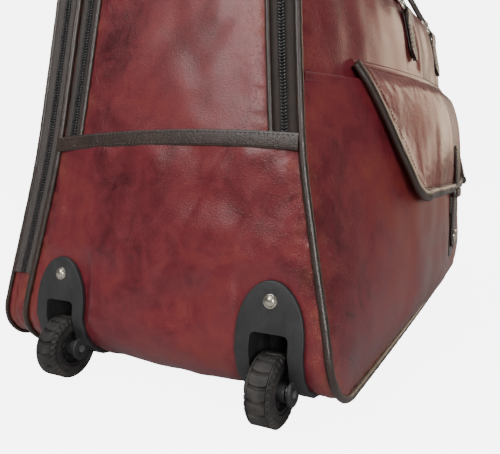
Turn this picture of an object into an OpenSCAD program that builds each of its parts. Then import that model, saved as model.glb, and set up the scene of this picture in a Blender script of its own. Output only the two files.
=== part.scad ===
// Rolling flight duffel: a leathercloth bag on two wheels with a telescopic
// handle along its base. X runs from the wheel end (-X) to the handle end (+X),
// the pocket side faces -Y and the floor is z = 0.

/* [Bag] */
// Length between the two end panels at their widest
bag_l = 554; // [520:1:600]
// Height of the underside above the floor
belly_z = 17; // [15:1:20]
// Height of the top panel above the floor
top_z = 350; // [340:1:370]
// Half width of an end panel at its base
base_hw = 140; // [130:1:150]
// Half width of the top, out to its side seams
top_hw = 84; // [78:1:92]
// Depth of the slim document compartment on the back
slim_d = 26.5; // [18:0.5:30]
// Thickness of a padded leathercloth panel
wall = 2.4; // [2:0.1:3]
// Thickness of the cloth lining
lining_t = 0.8; // [0.6:0.1:1]
// Radius of the rounded corner where an end panel meets the underside
belly_r = 35; // [30:1:40]
// Radius of the rounded corner where an end panel meets the top
top_r = 50; // [40:1:60]
// Height of the fold line along which the front cover opens
cover_z = 252; // [250:1:256]
// Height of the fold line along which the slim compartment opens
slim_z = 100; // [90:1:110]

/* [Zips] */
// Width of each zip tape between its two seams
tape_w = 19; // [17:1:21]
// Width of a closed zip coil
coil_w = 5; // [4:0.5:6]
// Height of a zip coil above its tape
coil_h = 1.4; // [1:0.1:1.6]
// Height at which the two main zips leave the end bands
zip_z = 198; // [196:1:202]

/* [Pocket] */
// How far the pocket stands off the front panel in the middle
pocket_d = 20; // [14:1:24]
// Height of the pocket's mouth
mouth_z = 232; // [226:1:234]
// Height of the flap's seam on the front panel
flap_z = 246; // [244:1:247]
// Height of the flap's lower edge
flap_low_z = 146; // [140:1:152]
// Half width of the flap at its seam
flap_hw = 192; // [180:1:200]
// Thickness of the flap
flap_t = 2.8; // [2.4:0.1:3.2]
// Width of the closure strap
strap_w = 25; // [22:1:30]

/* [Wheels] */
// Radius of a wheel
wheel_r = 25; // [24:0.5:26]
// Width of a tyre
tyre_w = 20; // [18:1:22]
// Distance between the two wheels
track = 188; // [180:1:196]
// Radius of a wheel axle
axle_r = 3; // [2.5:0.5:3]
// Width of a wheel housing
housing_w = 50; // [48:1:54]
// Height of the top of a wheel housing
housing_z = 100; // [98:1:104]

/* [Telescopic handle] */
// Distance between the two tubes
tube_track = 150; // [140:1:160]
// Height of the tubes' axes
tube_z = 40; // [38:1:42]
// Outer radius of a fixed tube
tube_r = 8.2; // [8:0.1:8.6]
// Thickness of a tube wall
tube_wall = 1.15; // [1:0.05:1.2]
// Radial play between one tube and the next
tube_play = 0.05; // [0.03:0.01:0.08]
// Length of a fixed tube
tube_l = 440; // [400:10:450]
// Length of the grip
grip_l = 190; // [180:1:200]

/* [Carry handles] */
// Distance between the two rings of a carry handle
ring_gap = 126; // [110:1:140]
// Height of the bars that the rings turn on
ring_z = 308; // [304:1:310]
// Rise of a carry handle above its rings
handle_rise = 96; // [85:1:105]
// Lean of a carry handle inwards over the bag at rest, in degrees
handle_lean = 30; // [24:1:34]

/* [Hidden] */

$fn = 48;
burgundy = [0.42, 0.12, 0.13];
brown = [0.16, 0.11, 0.09];
black = [0.08, 0.08, 0.09];
grey = [0.2, 0.2, 0.21];
nickel = [0.75, 0.72, 0.66];
alloy = [0.7, 0.7, 0.72];

hl = bag_l / 2;
bag_h = top_z - belly_z;
end_lean = 0.157;
end_lean_deg = atan(end_lean);
corner_z = belly_z + belly_r;
crown_z = top_z - top_r;
gap = 0.3;
far = 400;

// Half length of the bag at height z: a rounded lower corner, a flat end panel
// that leans inwards, and a rounded upper corner tangent to the top
lean_x = hl - end_lean * (crown_z - corner_z) - top_r;
function end_x(z) =
    z < corner_z ? hl - belly_r + sqrt(max(0, belly_r ^ 2 - (corner_z - z) ^ 2)) :
    z < crown_z ? hl - end_lean * (z - corner_z) :
    lean_x + sqrt(max(0, top_r ^ 2 - (z - crown_z) ^ 2));

// Half width at the ends and in the middle of the bag's length
function end_w(z) = lookup(z, [[belly_z, base_hw], [60, base_hw - 6],
    [120, base_hw - 19], [180, base_hw - 31], [250, base_hw - 39],
    [300, top_hw + 12], [335, top_hw + 6], [top_z, top_hw]]);
function mid_w(z) = lookup(z, [[belly_z, base_hw + 2], [60, base_hw + 8],
    [180, base_hw + 6], [250, base_hw + 1], [305, base_hw - 9],
    [335, top_hw + 22], [top_z, top_hw + 1]]);
function side_w(u, z) = end_w(z) + (mid_w(z) - end_w(z)) * (1 - u * u);

// Solid through a stack of level rings that all run anticlockwise
module stack(rings) {
    n = len(rings[0]);
    m = len(rings);
    polyhedron(
        points = [for (ring = rings, p = ring) p],
        faces = concat(
            [[for (i = [0 : n - 1]) i]],
            [[for (i = [n - 1 : -1 : 0]) (m - 1) * n + i]],
            [for (k = [0 : m - 2], i = [0 : n - 1]) let (
                a = k * n + i, b = k * n + (i + 1) % n, c = b + n, d = a + n)
                each [[a, d, c], [a, c, b]]]),
        convexity = 8);
}

// One level ring of the bag. inset shrinks it all round, side moves only its long
// sides, and reach carries its ends out past the bag, for cutting blades.
steps = [-1 : 0.25 : 1];
function ring_at(z, h, inset, side, reach) =
    let (x = end_x(z) - inset, s = side - inset)
    concat(
        reach > 0 ? [[-x - reach, -end_w(z) - s, h]] : [],
        [for (u = steps) [u * x, -side_w(u, z) - s, h]],
        reach > 0 ? [[x + reach, -end_w(z) - s, h], [x + reach, end_w(z) + s, h]] : [],
        [for (u = steps) [-u * x, side_w(u, z) + s, h]],
        reach > 0 ? [[-x - reach, end_w(z) + s, h]] : []);

levels = [belly_z, 20, 27, 37, corner_z, 60, 90, 120, 150, 180, 210, mouth_z,
    250, crown_z, 318, 335, 345, top_z];
module bag(inset = 0, side = 0) {
    squash_k = 1 - 2 * inset / bag_h;
    stack([for (z = levels)
        ring_at(z, belly_z + inset + (z - belly_z) * squash_k, inset, side, 0)]);
}

// Everything within the bag's side surfaces moved out by side, above and below too
module blade(side) {
    stack(concat(
        [ring_at(belly_z, -20, 0, side, 60)],
        [for (z = levels) ring_at(z, z, 0, side, 60)],
        [ring_at(top_z, top_z + 60, 0, side, 60)]));
}

module front_half() { translate([-far, -far, -far]) cube([2 * far, far, 3 * far]); }
module rear_half() { translate([-far, 0, -far]) cube([2 * far, far, 3 * far]); }
module level_slice(z0, z1) { translate([-far, -far, z0]) cube([2 * far, 2 * far, z1 - z0]); }
module end_slice(sign, x) {
    translate([sign > 0 ? x : -far - x, -far, -far]) cube([far, 2 * far, 3 * far]);
}
module both_sides() { for (s = [-1, 1]) translate([0, s * track / 2, 0]) children(); }

// Strip that forms the two ends, the top and the underside, one panel thick.
// past_side carries a cutting form out past the side walls, and the zip tapes
// start at tape_z, under the bands
past_side = 12;
tape_z = zip_z - 8;
module gusset_strip() {
    difference() {
        intersection() { bag(); blade(-wall); }
        bag(inset = wall, side = past_side);
    }
}

// Room in the bag's wall for the two wheel wells
well_x = -hl + 34.6;
well_w = 34;
well_z = 68;
module well_room() {
    both_sides() translate([-far, -well_w / 2, -far])
        cube([far + well_x, well_w, far + well_z]);
}
module tube_room() {
    for (s = [-1, 1]) translate([0, s * tube_track / 2, tube_z])
        rotate([0, 90, 0]) cylinder(r = tube_r, h = far);
}

module bottom_panel() color(burgundy) difference() {
    intersection() { gusset_strip(); level_slice(0, 60); cube([2 * (hl - belly_r), far, far], true); }
    well_room();
    foot_holes();
}
module wheel_end_panel() color(burgundy) difference() {
    intersection() { gusset_strip(); end_slice(-1, hl - belly_r); level_slice(0, tape_z); }
    well_room();
    rivet_holes();
}
module handle_end_panel() color(burgundy) difference() {
    intersection() { gusset_strip(); end_slice(1, hl - belly_r); level_slice(0, tape_z); }
    tube_room();
}
module end_gusset(sign) {
    intersection() {
        gusset_strip();
        blade(-wall - tape_w);
        end_slice(sign, lean_x);
        level_slice(tape_z, far);
    }
}
module wheel_end_gusset() color(burgundy) end_gusset(-1);
module handle_end_gusset() color(burgundy) end_gusset(1);
module top_panel() color(burgundy) intersection() {
    gusset_strip();
    blade(-wall - tape_w);
    cube([2 * lean_x, far, 3 * far], true);
    level_slice(crown_z, far);
}

// Band that covers the lower ends of the zips
band_t = 2;
band_h = 14;
band_margin = 5;
module end_band(sign) {
    difference() {
        intersection() {
            bag(inset = -band_t);
            blade(-band_margin);
            end_slice(sign, lean_x);
            level_slice(zip_z - band_h, zip_z);
        }
        bag();
    }
}
module wheel_end_band() color(brown) end_band(-1);
module handle_end_band() color(brown) end_band(1);

module side_wall() { difference() { bag(); blade(-wall); } }
module front_panel() color(burgundy) intersection() {
    side_wall();
    front_half();
    level_slice(0, cover_z);
}
module back_panel() color(burgundy) intersection() { side_wall(); rear_half(); }

module base_board() color(black) difference() {
    translate([-236, -124, belly_z + wall + lining_t]) cube([472, 248, 3]);
    foot_holes();
}

module inner_form(inset) {
    intersection() { bag(inset = inset, side = past_side); blade(-inset); }
}
module lining() color([0.25, 0.2, 0.18]) difference() {
    inner_form(wall);
    inner_form(wall + lining_t);
    cover_room();
    well_room();
    tube_room();
    rivet_holes();
    foot_holes();
}

// Zip tapes lie in the strip between the side walls and the middle gusset
module tape_strip(inner, outer) {
    intersection() {
        difference() { gusset_strip(); blade(-wall - inner); }
        blade(-wall - outer);
        level_slice(tape_z, far);
    }
}
// Everything that folds out with the front cover
module cover_room() {
    difference() {
        intersection() { front_half(); level_slice(cover_z, far); }
        blade(-wall - tape_w / 2);
    }
}
module front_zip_tape() color(brown) difference() {
    intersection() { front_half(); tape_strip(tape_w, 0); }
    cover_room();
}
module rear_zip_tape() color(brown) intersection() { rear_half(); tape_strip(tape_w, 0); }
module coil_strip(side, z0) {
    difference() {
        intersection() { bag(inset = -coil_h, side = 10); blade(side + coil_w / 2); level_slice(z0, far); }
        blade(side - coil_w / 2);
        bag();
    }
}
module front_zip_coil() color(black) difference() {
    intersection() { front_half(); coil_strip(-wall - tape_w / 2, zip_z); }
    cover_room();
}
module rear_zip_coil() color(black)
    intersection() { rear_half(); coil_strip(-wall - tape_w / 2, zip_z); }

// Cord swept round the closed outline of a side wall; sign picks front or back
function edge_path(sign) = concat(
    [for (z = levels) [-end_x(z), sign * end_w(z), z]],
    [for (u = [-0.5, 0, 0.5]) [u * end_x(top_z), sign * side_w(u, top_z), top_z]],
    [for (i = [len(levels) - 1 : -1 : 0]) [end_x(levels[i]), sign * end_w(levels[i]), levels[i]]],
    [for (u = [0.75 : -0.25 : -0.75])
        [u * end_x(belly_z), sign * side_w(u, belly_z), belly_z]]);
function unit(v) = v / norm(v);
module cord_loop(path, r, sides = 8) {
    n = len(path);
    rings = [for (i = [0 : n - 1]) let (
        t = unit(path[(i + 1) % n] - path[(i + n - 1) % n]),
        a = unit(cross(t, [0, 1, 0])),
        b = cross(t, a))
        [for (k = [0 : sides - 1]) path[i]
            + r * (cos(360 * k / sides) * a + sin(360 * k / sides) * b)]];
    polyhedron(
        points = [for (ring = rings, p = ring) p],
        faces = [for (i = [0 : n - 1], k = [0 : sides - 1]) let (
            j = (i + 1) % n, l = (k + 1) % sides)
            each [[i * sides + k, j * sides + l, i * sides + l],
                [i * sides + k, j * sides + k, j * sides + l]]],
        convexity = 12);
}
piping_r = 3;
module front_piping() color(brown) intersection() {
    difference() { cord_loop(edge_path(-1), piping_r); bag(); }
    level_slice(0, cover_z);
}
module cover_piping() color(brown) intersection() {
    difference() { cord_loop(edge_path(-1), piping_r); bag(); }
    level_slice(cover_z + gap, far);
}
module rear_piping() color(brown) difference() {
    cord_loop(edge_path(1), piping_r);
    bag();
    slim_block();
}

// Front cover with the outer half of its zip tape, folding out along cover_z
module front_cover() color(burgundy) intersection() {
    front_half();
    level_slice(cover_z + gap, far);
    union() {
        side_wall();
        tape_strip(tape_w / 2 - gap, 0);
    }
}

// Slim compartment on the back: its shell splits along the middle of its gusset
slim_step = 2;
module slim_block(inset = 0) {
    intersection() { bag(inset = slim_step + inset, side = slim_d + slim_step); rear_half(); }
}
module slim_shell() {
    difference() { slim_block(); slim_block(wall); bag(); }
}
module slim_gusset() color(burgundy) difference() {
    slim_shell();
    difference() { level_slice(slim_z, far); blade(slim_d / 2); }
}
module slim_cover() color(burgundy) intersection() {
    difference() { slim_shell(); blade(slim_d / 2 + gap); }
    level_slice(slim_z + gap, far);
}
slim_coil_side = slim_d / 2 - coil_w / 2;
slim_coil_low = 80;
module slim_zip_coil() color(black) intersection() {
    difference() {
        intersection() {
            bag(inset = slim_step - coil_h, side = 2 * slim_d);
            blade(slim_coil_side + coil_w / 2 - gap);
        }
        blade(slim_coil_side - coil_w / 2);
        bag(inset = slim_step, side = 2 * slim_d);
        bag();
    }
    rear_half();
    union() {
        level_slice(slim_z, far);
        intersection() { level_slice(slim_coil_low, far); end_slice(1, 0); }
    }
}

// How far the pocket stands off the front panel; off moves the surface outwards
function pocket_off(u, z) = pocket_d * pow(1 - u * u, 1.5) * lookup(z,
    [[20, 0], [60, 0.9], [100, 1], [190, 1], [mouth_z, 0.7], [flap_z + 2, 0]]);
module front_skin(zs, off) {
    stack([for (z = zs) let (x = end_x(z)) concat(
        [for (u = steps) [u * x, -side_w(u, z) - pocket_off(u, z) - lookup(z, off), z]],
        [[x, -20, z], [-x, -20, z]])]);
}
pocket_levels = [for (z = levels) if (z > belly_z && z < mouth_z) z];
cavity_hw = 165;
module front_pocket() color(burgundy) difference() {
    front_skin(concat(pocket_levels, [mouth_z]), [[0, -gap]]);
    intersection() {
        front_skin(concat([for (z = pocket_levels) if (z > 40) z], [mouth_z, mouth_z + 1]),
            [[0, -gap - wall]]);
        cube([2 * cavity_hw, 2 * far, 4 * far], true);
    }
    bag();
}

flap_gap = 0.9;
flap_levels = [flap_low_z - 4, 160, 175, 190, 210, mouth_z, flap_z + 2];
flap_low_hw = 139;
flap_corner_r = 20;
module flap_outline() {
    rotate([90, 0, 0]) linear_extrude(far) hull() {
        translate([-flap_hw, flap_z - 3]) square([2 * flap_hw, 4]);
        for (s = [-1, 1]) translate([s * (flap_low_hw - flap_corner_r), flap_low_z + flap_corner_r])
            circle(flap_corner_r, $fn = 32);
    }
}
module pocket_flap() color(burgundy) intersection() {
    difference() {
        front_skin(flap_levels, [[0, flap_gap + flap_t]]);
        front_skin(concat([flap_low_z - 5], flap_levels, [flap_z + 3]), [[0, flap_gap]]);
    }
    flap_outline();
}

// Closure strap over the flap's middle, its snap and the tab that it snaps to
snap_z = 96;
strap_low_z = 84;
strap_high_z = 186;
strap_t = 2.4;
tab_t = 1.6;
strap_off = [[strap_low_z, tab_t + 1.4], [132, tab_t + 1.4],
    [flap_low_z - 2, flap_gap + flap_t + 0.2], [strap_high_z, flap_gap + flap_t + 0.2]];
module front_patch(w, zs, off, t) {
    intersection() {
        difference() {
            front_skin(zs, [for (p = off) [p[0], p[1] + t]]);
            front_skin(concat([zs[0] - 1], zs, [zs[len(zs) - 1] + 1]), off);
        }
        cube([w, 2 * far, 4 * far], true);
    }
}
module closure_strap() color(brown)
    front_patch(strap_w, [strap_low_z, snap_z, 125, 132, flap_low_z - 2, 160, 175, strap_high_z],
        strap_off, strap_t);
module strap_tab() color(brown)
    front_patch(strap_w + 4, [74, 80, snap_z, 100, 118], [[0, 0]], tab_t);
snap_y = -mid_w(snap_z) - pocket_off(0, snap_z);
module snap_stud() color(nickel)
    translate([0, snap_y - tab_t - 0.2, snap_z]) rotate([90, 0, 0]) cylinder(r = 5, h = 0.8);
module snap_cap() color(nickel)
    translate([0, snap_y - tab_t - 1.4 - strap_t - 0.1, snap_z])
        rotate([90, 0, 0]) cylinder(r1 = 7, r2 = 5.5, h = 1.8);

// Solid under the wheel end's outer surface in side view, off outside it
module end_block(off = 0) {
    rotate([90, 0, 0]) linear_extrude(2 * far, center = true) polygon(concat(
        [for (z = levels) if (z <= corner_z) let (k = 1 + off / belly_r)
            [-hl + belly_r + k * (hl - belly_r - end_x(z)), corner_z + k * (z - corner_z)]],
        [[-hl - off + 100 * end_lean, corner_z + 100],
            [0, corner_z + 100], [0, belly_z - off]]));
}
rivet_z = 86;
module at_rivet() {
    translate([-hl + end_lean * (rivet_z - corner_z), 0, rivet_z])
        rotate([0, -90 + end_lean_deg, 0]) children();
}
module rivet_holes() { both_sides() at_rivet() translate([0, 0, -8]) cylinder(r = 2, h = 20); }

plate_t = 3.5;
cheek = 3;
axle_x = -hl + 3.7;
arch_z = 62;
window_w = well_w - 2 * cheek;
window_r = 4;
module tongue() {
    rotate([90, 0, 90]) linear_extrude(2 * far, center = true) polygon(concat(
        [[-housing_w / 2, 0]],
        [for (a = [180 : -10 : 0]) [housing_w / 2 * cos(a), arch_z + (housing_z - arch_z) * sin(a)]],
        [[housing_w / 2, 0]]));
}
module wheel_housing() color(grey) difference() {
    union() {
        intersection() {
            difference() { end_block(plate_t); end_block(); }
            tongue();
            end_slice(-1, hl - belly_r - 4);
        }
        intersection() {
            end_block(plate_t);
            translate([-far, -well_w / 2, 0]) cube([far + well_x, well_w, well_z]);
        }
        translate([axle_x, 0, wheel_r]) rotate([90, 0, 0])
            cylinder(r = 9, h = well_w, center = true);
    }
    translate([well_x - cheek, 0, 0]) rotate([90, 0, -90]) linear_extrude(far)
        polygon(concat([[-window_w / 2, -1], [window_w / 2, -1]],
            [for (c = [[1, 0], [-1, 90]], a = [0 : 15 : 90])
                [c[0] * (window_w / 2 - window_r) + window_r * cos(c[1] + a),
                    well_z - cheek - window_r + window_r * sin(c[1] + a)]]));
    translate([axle_x, 0, wheel_r]) rotate([90, 0, 0])
        cylinder(r = axle_r, h = well_w + 2, center = true);
    at_rivet() translate([0, 0, -8]) cylinder(r = 2, h = 20);
}
module front_wheel_housing() translate([0, -track / 2, 0]) wheel_housing();
module rear_wheel_housing() translate([0, track / 2, 0]) wheel_housing();
module housing_rivets() color(nickel) both_sides() at_rivet() {
    translate([0, 0, plate_t]) cylinder(r1 = 4.6, r2 = 3.2, h = 1.8);
    translate([0, 0, -wall - lining_t - 1]) cylinder(r = 2, h = wall + lining_t + 1 + plate_t);
    translate([0, 0, -wall - lining_t - 1]) cylinder(r = 4, h = 1);
}

module at_axle(y) { translate([axle_x, y, wheel_r]) rotate([90, 0, 0]) children(); }
module wheel_axles() color(alloy) for (s = [-1, 1])
    at_axle(s * track / 2) cylinder(r = axle_r, h = well_w, center = true);
washer_t = 1.5;
module wheel_washers() color(alloy) for (s = [-1, 1], t = [-1, 1])
    at_axle(s * track / 2 + t * (well_w / 2 - cheek - washer_t / 2)) difference() {
        cylinder(r = 6, h = washer_t, center = true);
        cylinder(r = axle_r, h = 4, center = true);
    }
rim_r = 15;
module tyre(y) {
    h = tyre_w / 2;
    at_axle(y) rotate_extrude() polygon([[rim_r, -h + 1], [rim_r + 1, -h], [wheel_r - 4, -h],
        [wheel_r - 1, -h + 2.5], [wheel_r, -h + 5], [wheel_r, h - 5],
        [wheel_r - 1, h - 2.5], [wheel_r - 4, h], [rim_r + 1, h], [rim_r, h - 1]]);
}
axle_play = 0.06;
module wheel_hub(y) {
    h = tyre_w / 2 - 1;
    boss = well_w / 2 - cheek - washer_t - gap;
    at_axle(y) rotate_extrude() polygon([[axle_r + axle_play, -boss], [7, -boss], [7, -3],
        [12, -3], [12, -h], [rim_r, -h], [rim_r, h], [12, h], [12, 3], [7, 3],
        [7, boss], [axle_r + axle_play, boss]]);
}
module front_wheel_tyre() color(black) tyre(-track / 2);
module rear_wheel_tyre() color(black) tyre(track / 2);
module front_wheel_hub() color(grey) wheel_hub(-track / 2);
module rear_wheel_hub() color(grey) wheel_hub(track / 2);

// Skid feet under the handle end, screwed up into the base board
foot_x = 214;
foot_y = 100;
module at_feet() { for (s = [-1, 1]) translate([foot_x, s * foot_y, 0]) children(); }
module foot_holes() { at_feet() translate([0, 0, -1]) cylinder(r = 1.6, h = 40); }
module skid_feet() color(black) difference() {
    at_feet() rotate([90, 0, 0]) linear_extrude(22, center = true)
        polygon([[-23, belly_z], [-15, 0], [15, 0], [23, belly_z]]);
    foot_holes();
    at_feet() translate([0, 0, -1]) cylinder(r = 3.4, h = 5);
}
module foot_screws() color(nickel) at_feet() {
    translate([0, 0, 4]) cylinder(r = 1.6, h = board_top - 4);
    translate([0, 0, 2]) cylinder(r = 3.2, h = 2);
}
board_top = belly_z + wall + lining_t + 3;

// Telescopic handle: nested tubes along the base that slide out of the +X end
tube_end = hl;
collar_gap = 1.6;
collar_l = 3;
grip_x = hl + 5.3;
grip_t = 14.7;
grip_h = 24;
button_travel = 3;
module pipe(r, wall_t, x0, x1) {
    for (s = [-1, 1]) translate([x0, s * tube_track / 2, tube_z]) rotate([0, 90, 0])
        difference() {
            cylinder(r = r, h = x1 - x0);
            translate([0, 0, -1]) cylinder(r = r - wall_t, h = x1 - x0 + 2);
        }
}
middle_r = tube_r - tube_wall - tube_play;
inner_r = middle_r - tube_wall - tube_play;
inner_end = grip_x + 3.7;
module fixed_tubes() color(alloy) pipe(tube_r, tube_wall, tube_end - tube_l, tube_end);
module middle_tubes() color(alloy)
    pipe(middle_r, tube_wall, tube_end - tube_l + 40, tube_end + collar_gap + collar_l);
module tube_collars() color(black)
    pipe(tube_r + 0.4, tube_r + 0.4 - middle_r, tube_end + collar_gap, tube_end + collar_gap + collar_l);
module inner_tubes() color(alloy) pipe(inner_r, tube_wall, tube_end - tube_l + 80, inner_end);

module tube_saddles() color(black) difference() {
    for (x = [-130, 170], s = [-1, 1])
        translate([x, s * tube_track / 2 - 14, board_top]) cube([20, 28, tube_z + 11 - board_top]);
    for (s = [-1, 1]) translate([-far, s * tube_track / 2, tube_z])
        rotate([0, 90, 0]) cylinder(r = tube_r, h = 2 * far);
}

// Outline of a rectangle with rounded corners
function round_rect(w, h, r) = [for (c = [[1, 1, 0], [-1, 1, 90], [-1, -1, 180], [1, -1, 270]],
    a = [0 : 15 : 90]) [c[0] * (w / 2 - r) + r * cos(c[2] + a), c[1] * (h / 2 - r) + r * sin(c[2] + a)]];
module handle_bezel() color(black) difference() {
    intersection() {
        mirror([1, 0, 0]) difference() { end_block(3); end_block(); }
        translate([0, 0, tube_z + 3]) rotate([90, 0, 90]) linear_extrude(far)
            polygon(round_rect(grip_l + 22, 44, 12));
    }
    tube_room();
    for (s = [-1, 1]) translate([hl + 0.8, s * tube_track / 2, tube_z])
        rotate([0, 90, 0]) cylinder(r = tube_r + 1.2, h = far);
}
module grip() color(black) difference() {
    translate([grip_x + grip_t / 2, 0, tube_z]) rotate([90, 0, 0])
        linear_extrude(grip_l, center = true) polygon(round_rect(grip_t, grip_h, 5));
    translate([inner_end, -82, tube_z - 6]) cube([8, 164, 12]);
    translate([inner_end, -20.4, tube_z - 4.4]) cube([far, 40.8, 8.8]);
    for (s = [-1, 1]) translate([grip_x - 1, s * tube_track / 2, tube_z])
        rotate([0, 90, 0]) cylinder(r = inner_r, h = inner_end - grip_x + 1.5);
}
module release_button() color(grey) {
    translate([inner_end + 4, -20, tube_z - 4]) cube([8.4, 40, 8]);
    translate([inner_end + 5, -24, tube_z - 5.6]) cube([2.2, 48, 11.2]);
    translate([inner_end + 3.6, -78, tube_z - 2]) cube([2, 156, 4]);
    for (s = [-1, 1]) translate([tube_end - tube_l + 90, s * tube_track / 2, tube_z])
        rotate([0, 90, 0]) cylinder(r = 1.5, h = inner_end + 4 - (tube_end - tube_l + 90));
}

// Carry handle parts, drawn about the bar that they turn on
bar_r = 1.5;
bar_play = 0.08;
seat = 0.05;
tab_w = 22;
tab_l = 46;
bar_y = side_w(ring_gap / 2 / end_x(ring_z), ring_z) + 4.8;
ring_w = 28;
ring_h = 16;
tab_lean = 12.5;
module handle_tabs() for (s = [-1, 1]) translate([s * ring_gap / 2, 0, 0]) rotate([-tab_lean, 0, 0])
    difference() {
        union() {
            translate([-tab_w / 2, 0.8, -tab_l]) cube([tab_w, 2.6, tab_l]);
            rotate([0, 90, 0]) cylinder(r = 3.6, h = tab_w, center = true);
        }
        rotate([0, 90, 0]) cylinder(r = bar_r + bar_play, h = 30, center = true);
    }
module handle_rings() rotate([-handle_lean, 0, 0]) for (s = [-1, 1]) translate([s * ring_gap / 2, 0, 0]) {
    for (z = [0, ring_h]) translate([0, 0, z]) rotate([0, 90, 0])
        cylinder(r = bar_r, h = ring_w, center = true);
    for (x = [-1, 1]) translate([x * ring_w / 2, 0, ring_h / 2])
        cube([3, 2 * bar_r + 0.4, ring_h + 2 * bar_r + 0.4], true);
}
strap_half = 10;
module arch_outline(half_w, rise) {
    polygon(concat([[-half_w, ring_h], [-half_w, rise - 50]],
        [for (a = [170 : -10 : 10]) [half_w * cos(a), rise - 50 + 50 * sin(a)]],
        [[half_w, rise - 50], [half_w, ring_h]]));
}
module handle_strap() rotate([-handle_lean, 0, 0]) difference() {
    union() {
        rotate([90, 0, 0]) linear_extrude(6, center = true) difference() {
            arch_outline(ring_gap / 2 + strap_half, handle_rise);
            translate([0, -1]) arch_outline(ring_gap / 2 - strap_half, handle_rise - 18);
        }
        for (s = [-1, 1]) translate([s * ring_gap / 2, 0, ring_h]) rotate([0, 90, 0])
            cylinder(r = 3.8, h = 2 * strap_half, center = true);
    }
    translate([0, 0, ring_h]) rotate([0, 90, 0]) cylinder(r = bar_r, h = far, center = true);
}
module at_front_bar() { translate([0, -bar_y, ring_z]) children(); }
module at_back_bar() {
    rotate([0, 0, 180]) translate([0, -bar_y - slim_d, ring_z]) children();
}
module front_handle_tabs() color(brown) difference() { at_front_bar() handle_tabs(); blade(seat); }
module front_handle_rings() color(nickel) at_front_bar() handle_rings();
module front_handle() color(brown) at_front_bar() handle_strap();
module back_handle_tabs() color(brown)
    difference() { at_back_bar() handle_tabs(); blade(slim_d + seat); }
module back_handle_rings() color(nickel) at_back_bar() handle_rings();
module back_handle() color(brown) at_back_bar() handle_strap();

// Zip sliders and their pulls, parked low on the handle end. Drawn with +Z out
// of the zip and -X up along it
pull_z = 5.8;
pin_r = 1;
pin_play = 0.06;
function zip_turn(z, travel) = atan((end_w(z) - end_w(z + travel)) / travel);
module at_zip(sign, side, z, travel, inset = 0) {
    translate([end_x(z) - inset, sign * (end_w(z) + side), z])
        rotate([0, 90 - end_lean_deg, 0]) rotate([0, 0, sign * zip_turn(z, travel)]) children();
}
module zip_slider() difference() {
    union() {
        translate([-7, -4.6, coil_h + gap]) cube([14, 9.2, 2.2]);
        for (s = [-1, 1]) translate([-7, s * 3.95 - 0.65, 0.6]) cube([14, 1.3, coil_h]);
        translate([-3, -1.5, coil_h + gap]) cube([6, 3, 6]);
    }
    translate([0, 0, pull_z]) rotate([90, 0, 0]) cylinder(r = pin_r, h = 20, center = true);
}
module zip_pull() {
    translate([0, 0, pull_z]) rotate([90, 0, 0]) cylinder(r = pin_r - pin_play, h = 6.8, center = true);
    for (s = [-1, 1]) translate([-1.2, s * 2.65 - 0.75, pull_z - 0.8]) cube([6, 1.5, 1.6]);
    translate([4.8, -3.4, pull_z - 0.8]) cube([26, 6.8, 1.6]);
}
main_zip_side = -wall - tape_w / 2;
main_park_z = 212;
main_travel = 73;
slim_park_z = 92;
slim_travel = 83;
slim_slider_side = slim_coil_side - 0.2;
module front_zip_slider() color(nickel) at_zip(-1, main_zip_side, main_park_z, main_travel) zip_slider();
module front_zip_pull() color(nickel) at_zip(-1, main_zip_side, main_park_z, main_travel) zip_pull();
module rear_zip_slider() color(nickel) at_zip(1, main_zip_side, main_park_z, main_travel) zip_slider();
module rear_zip_pull() color(nickel) at_zip(1, main_zip_side, main_park_z, main_travel) zip_pull();
module slim_zip_slider() color(nickel)
    at_zip(1, slim_slider_side, slim_park_z, slim_travel, slim_step) zip_slider();
module slim_zip_pull() color(nickel)
    at_zip(1, slim_slider_side, slim_park_z, slim_travel, slim_step) zip_pull();

base_board();
bottom_panel();
wheel_end_panel();
wheel_end_gusset();
wheel_end_band();
handle_end_panel();
handle_end_gusset();
handle_end_band();
top_panel();
front_panel();
back_panel();
lining();
front_zip_tape();
front_zip_coil();
rear_zip_tape();
rear_zip_coil();
front_piping();
rear_piping();
slim_gusset();
slim_zip_coil();
front_pocket();
strap_tab();
snap_stud();
front_wheel_housing();
rear_wheel_housing();
housing_rivets();
wheel_axles();
wheel_washers();
skid_feet();
foot_screws();
fixed_tubes();
tube_saddles();
handle_bezel();
front_wheel_tyre();
front_wheel_hub();
rear_wheel_tyre();
rear_wheel_hub();
middle_tubes();
tube_collars();
inner_tubes();
grip();
release_button();
front_cover();
cover_piping();
front_handle_tabs();
front_handle_rings();
front_handle();
slim_cover();
back_handle_tabs();
back_handle_rings();
back_handle();
pocket_flap();
closure_strap();
snap_cap();
front_zip_slider();
front_zip_pull();
rear_zip_slider();
rear_zip_pull();
slim_zip_slider();
slim_zip_pull();
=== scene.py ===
"""Rolling flight duffel in burgundy leathercloth, dressed around its packed frame."""

import math

import bpy
import numpy as np
from mathutils import Matrix, Vector, noise


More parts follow.
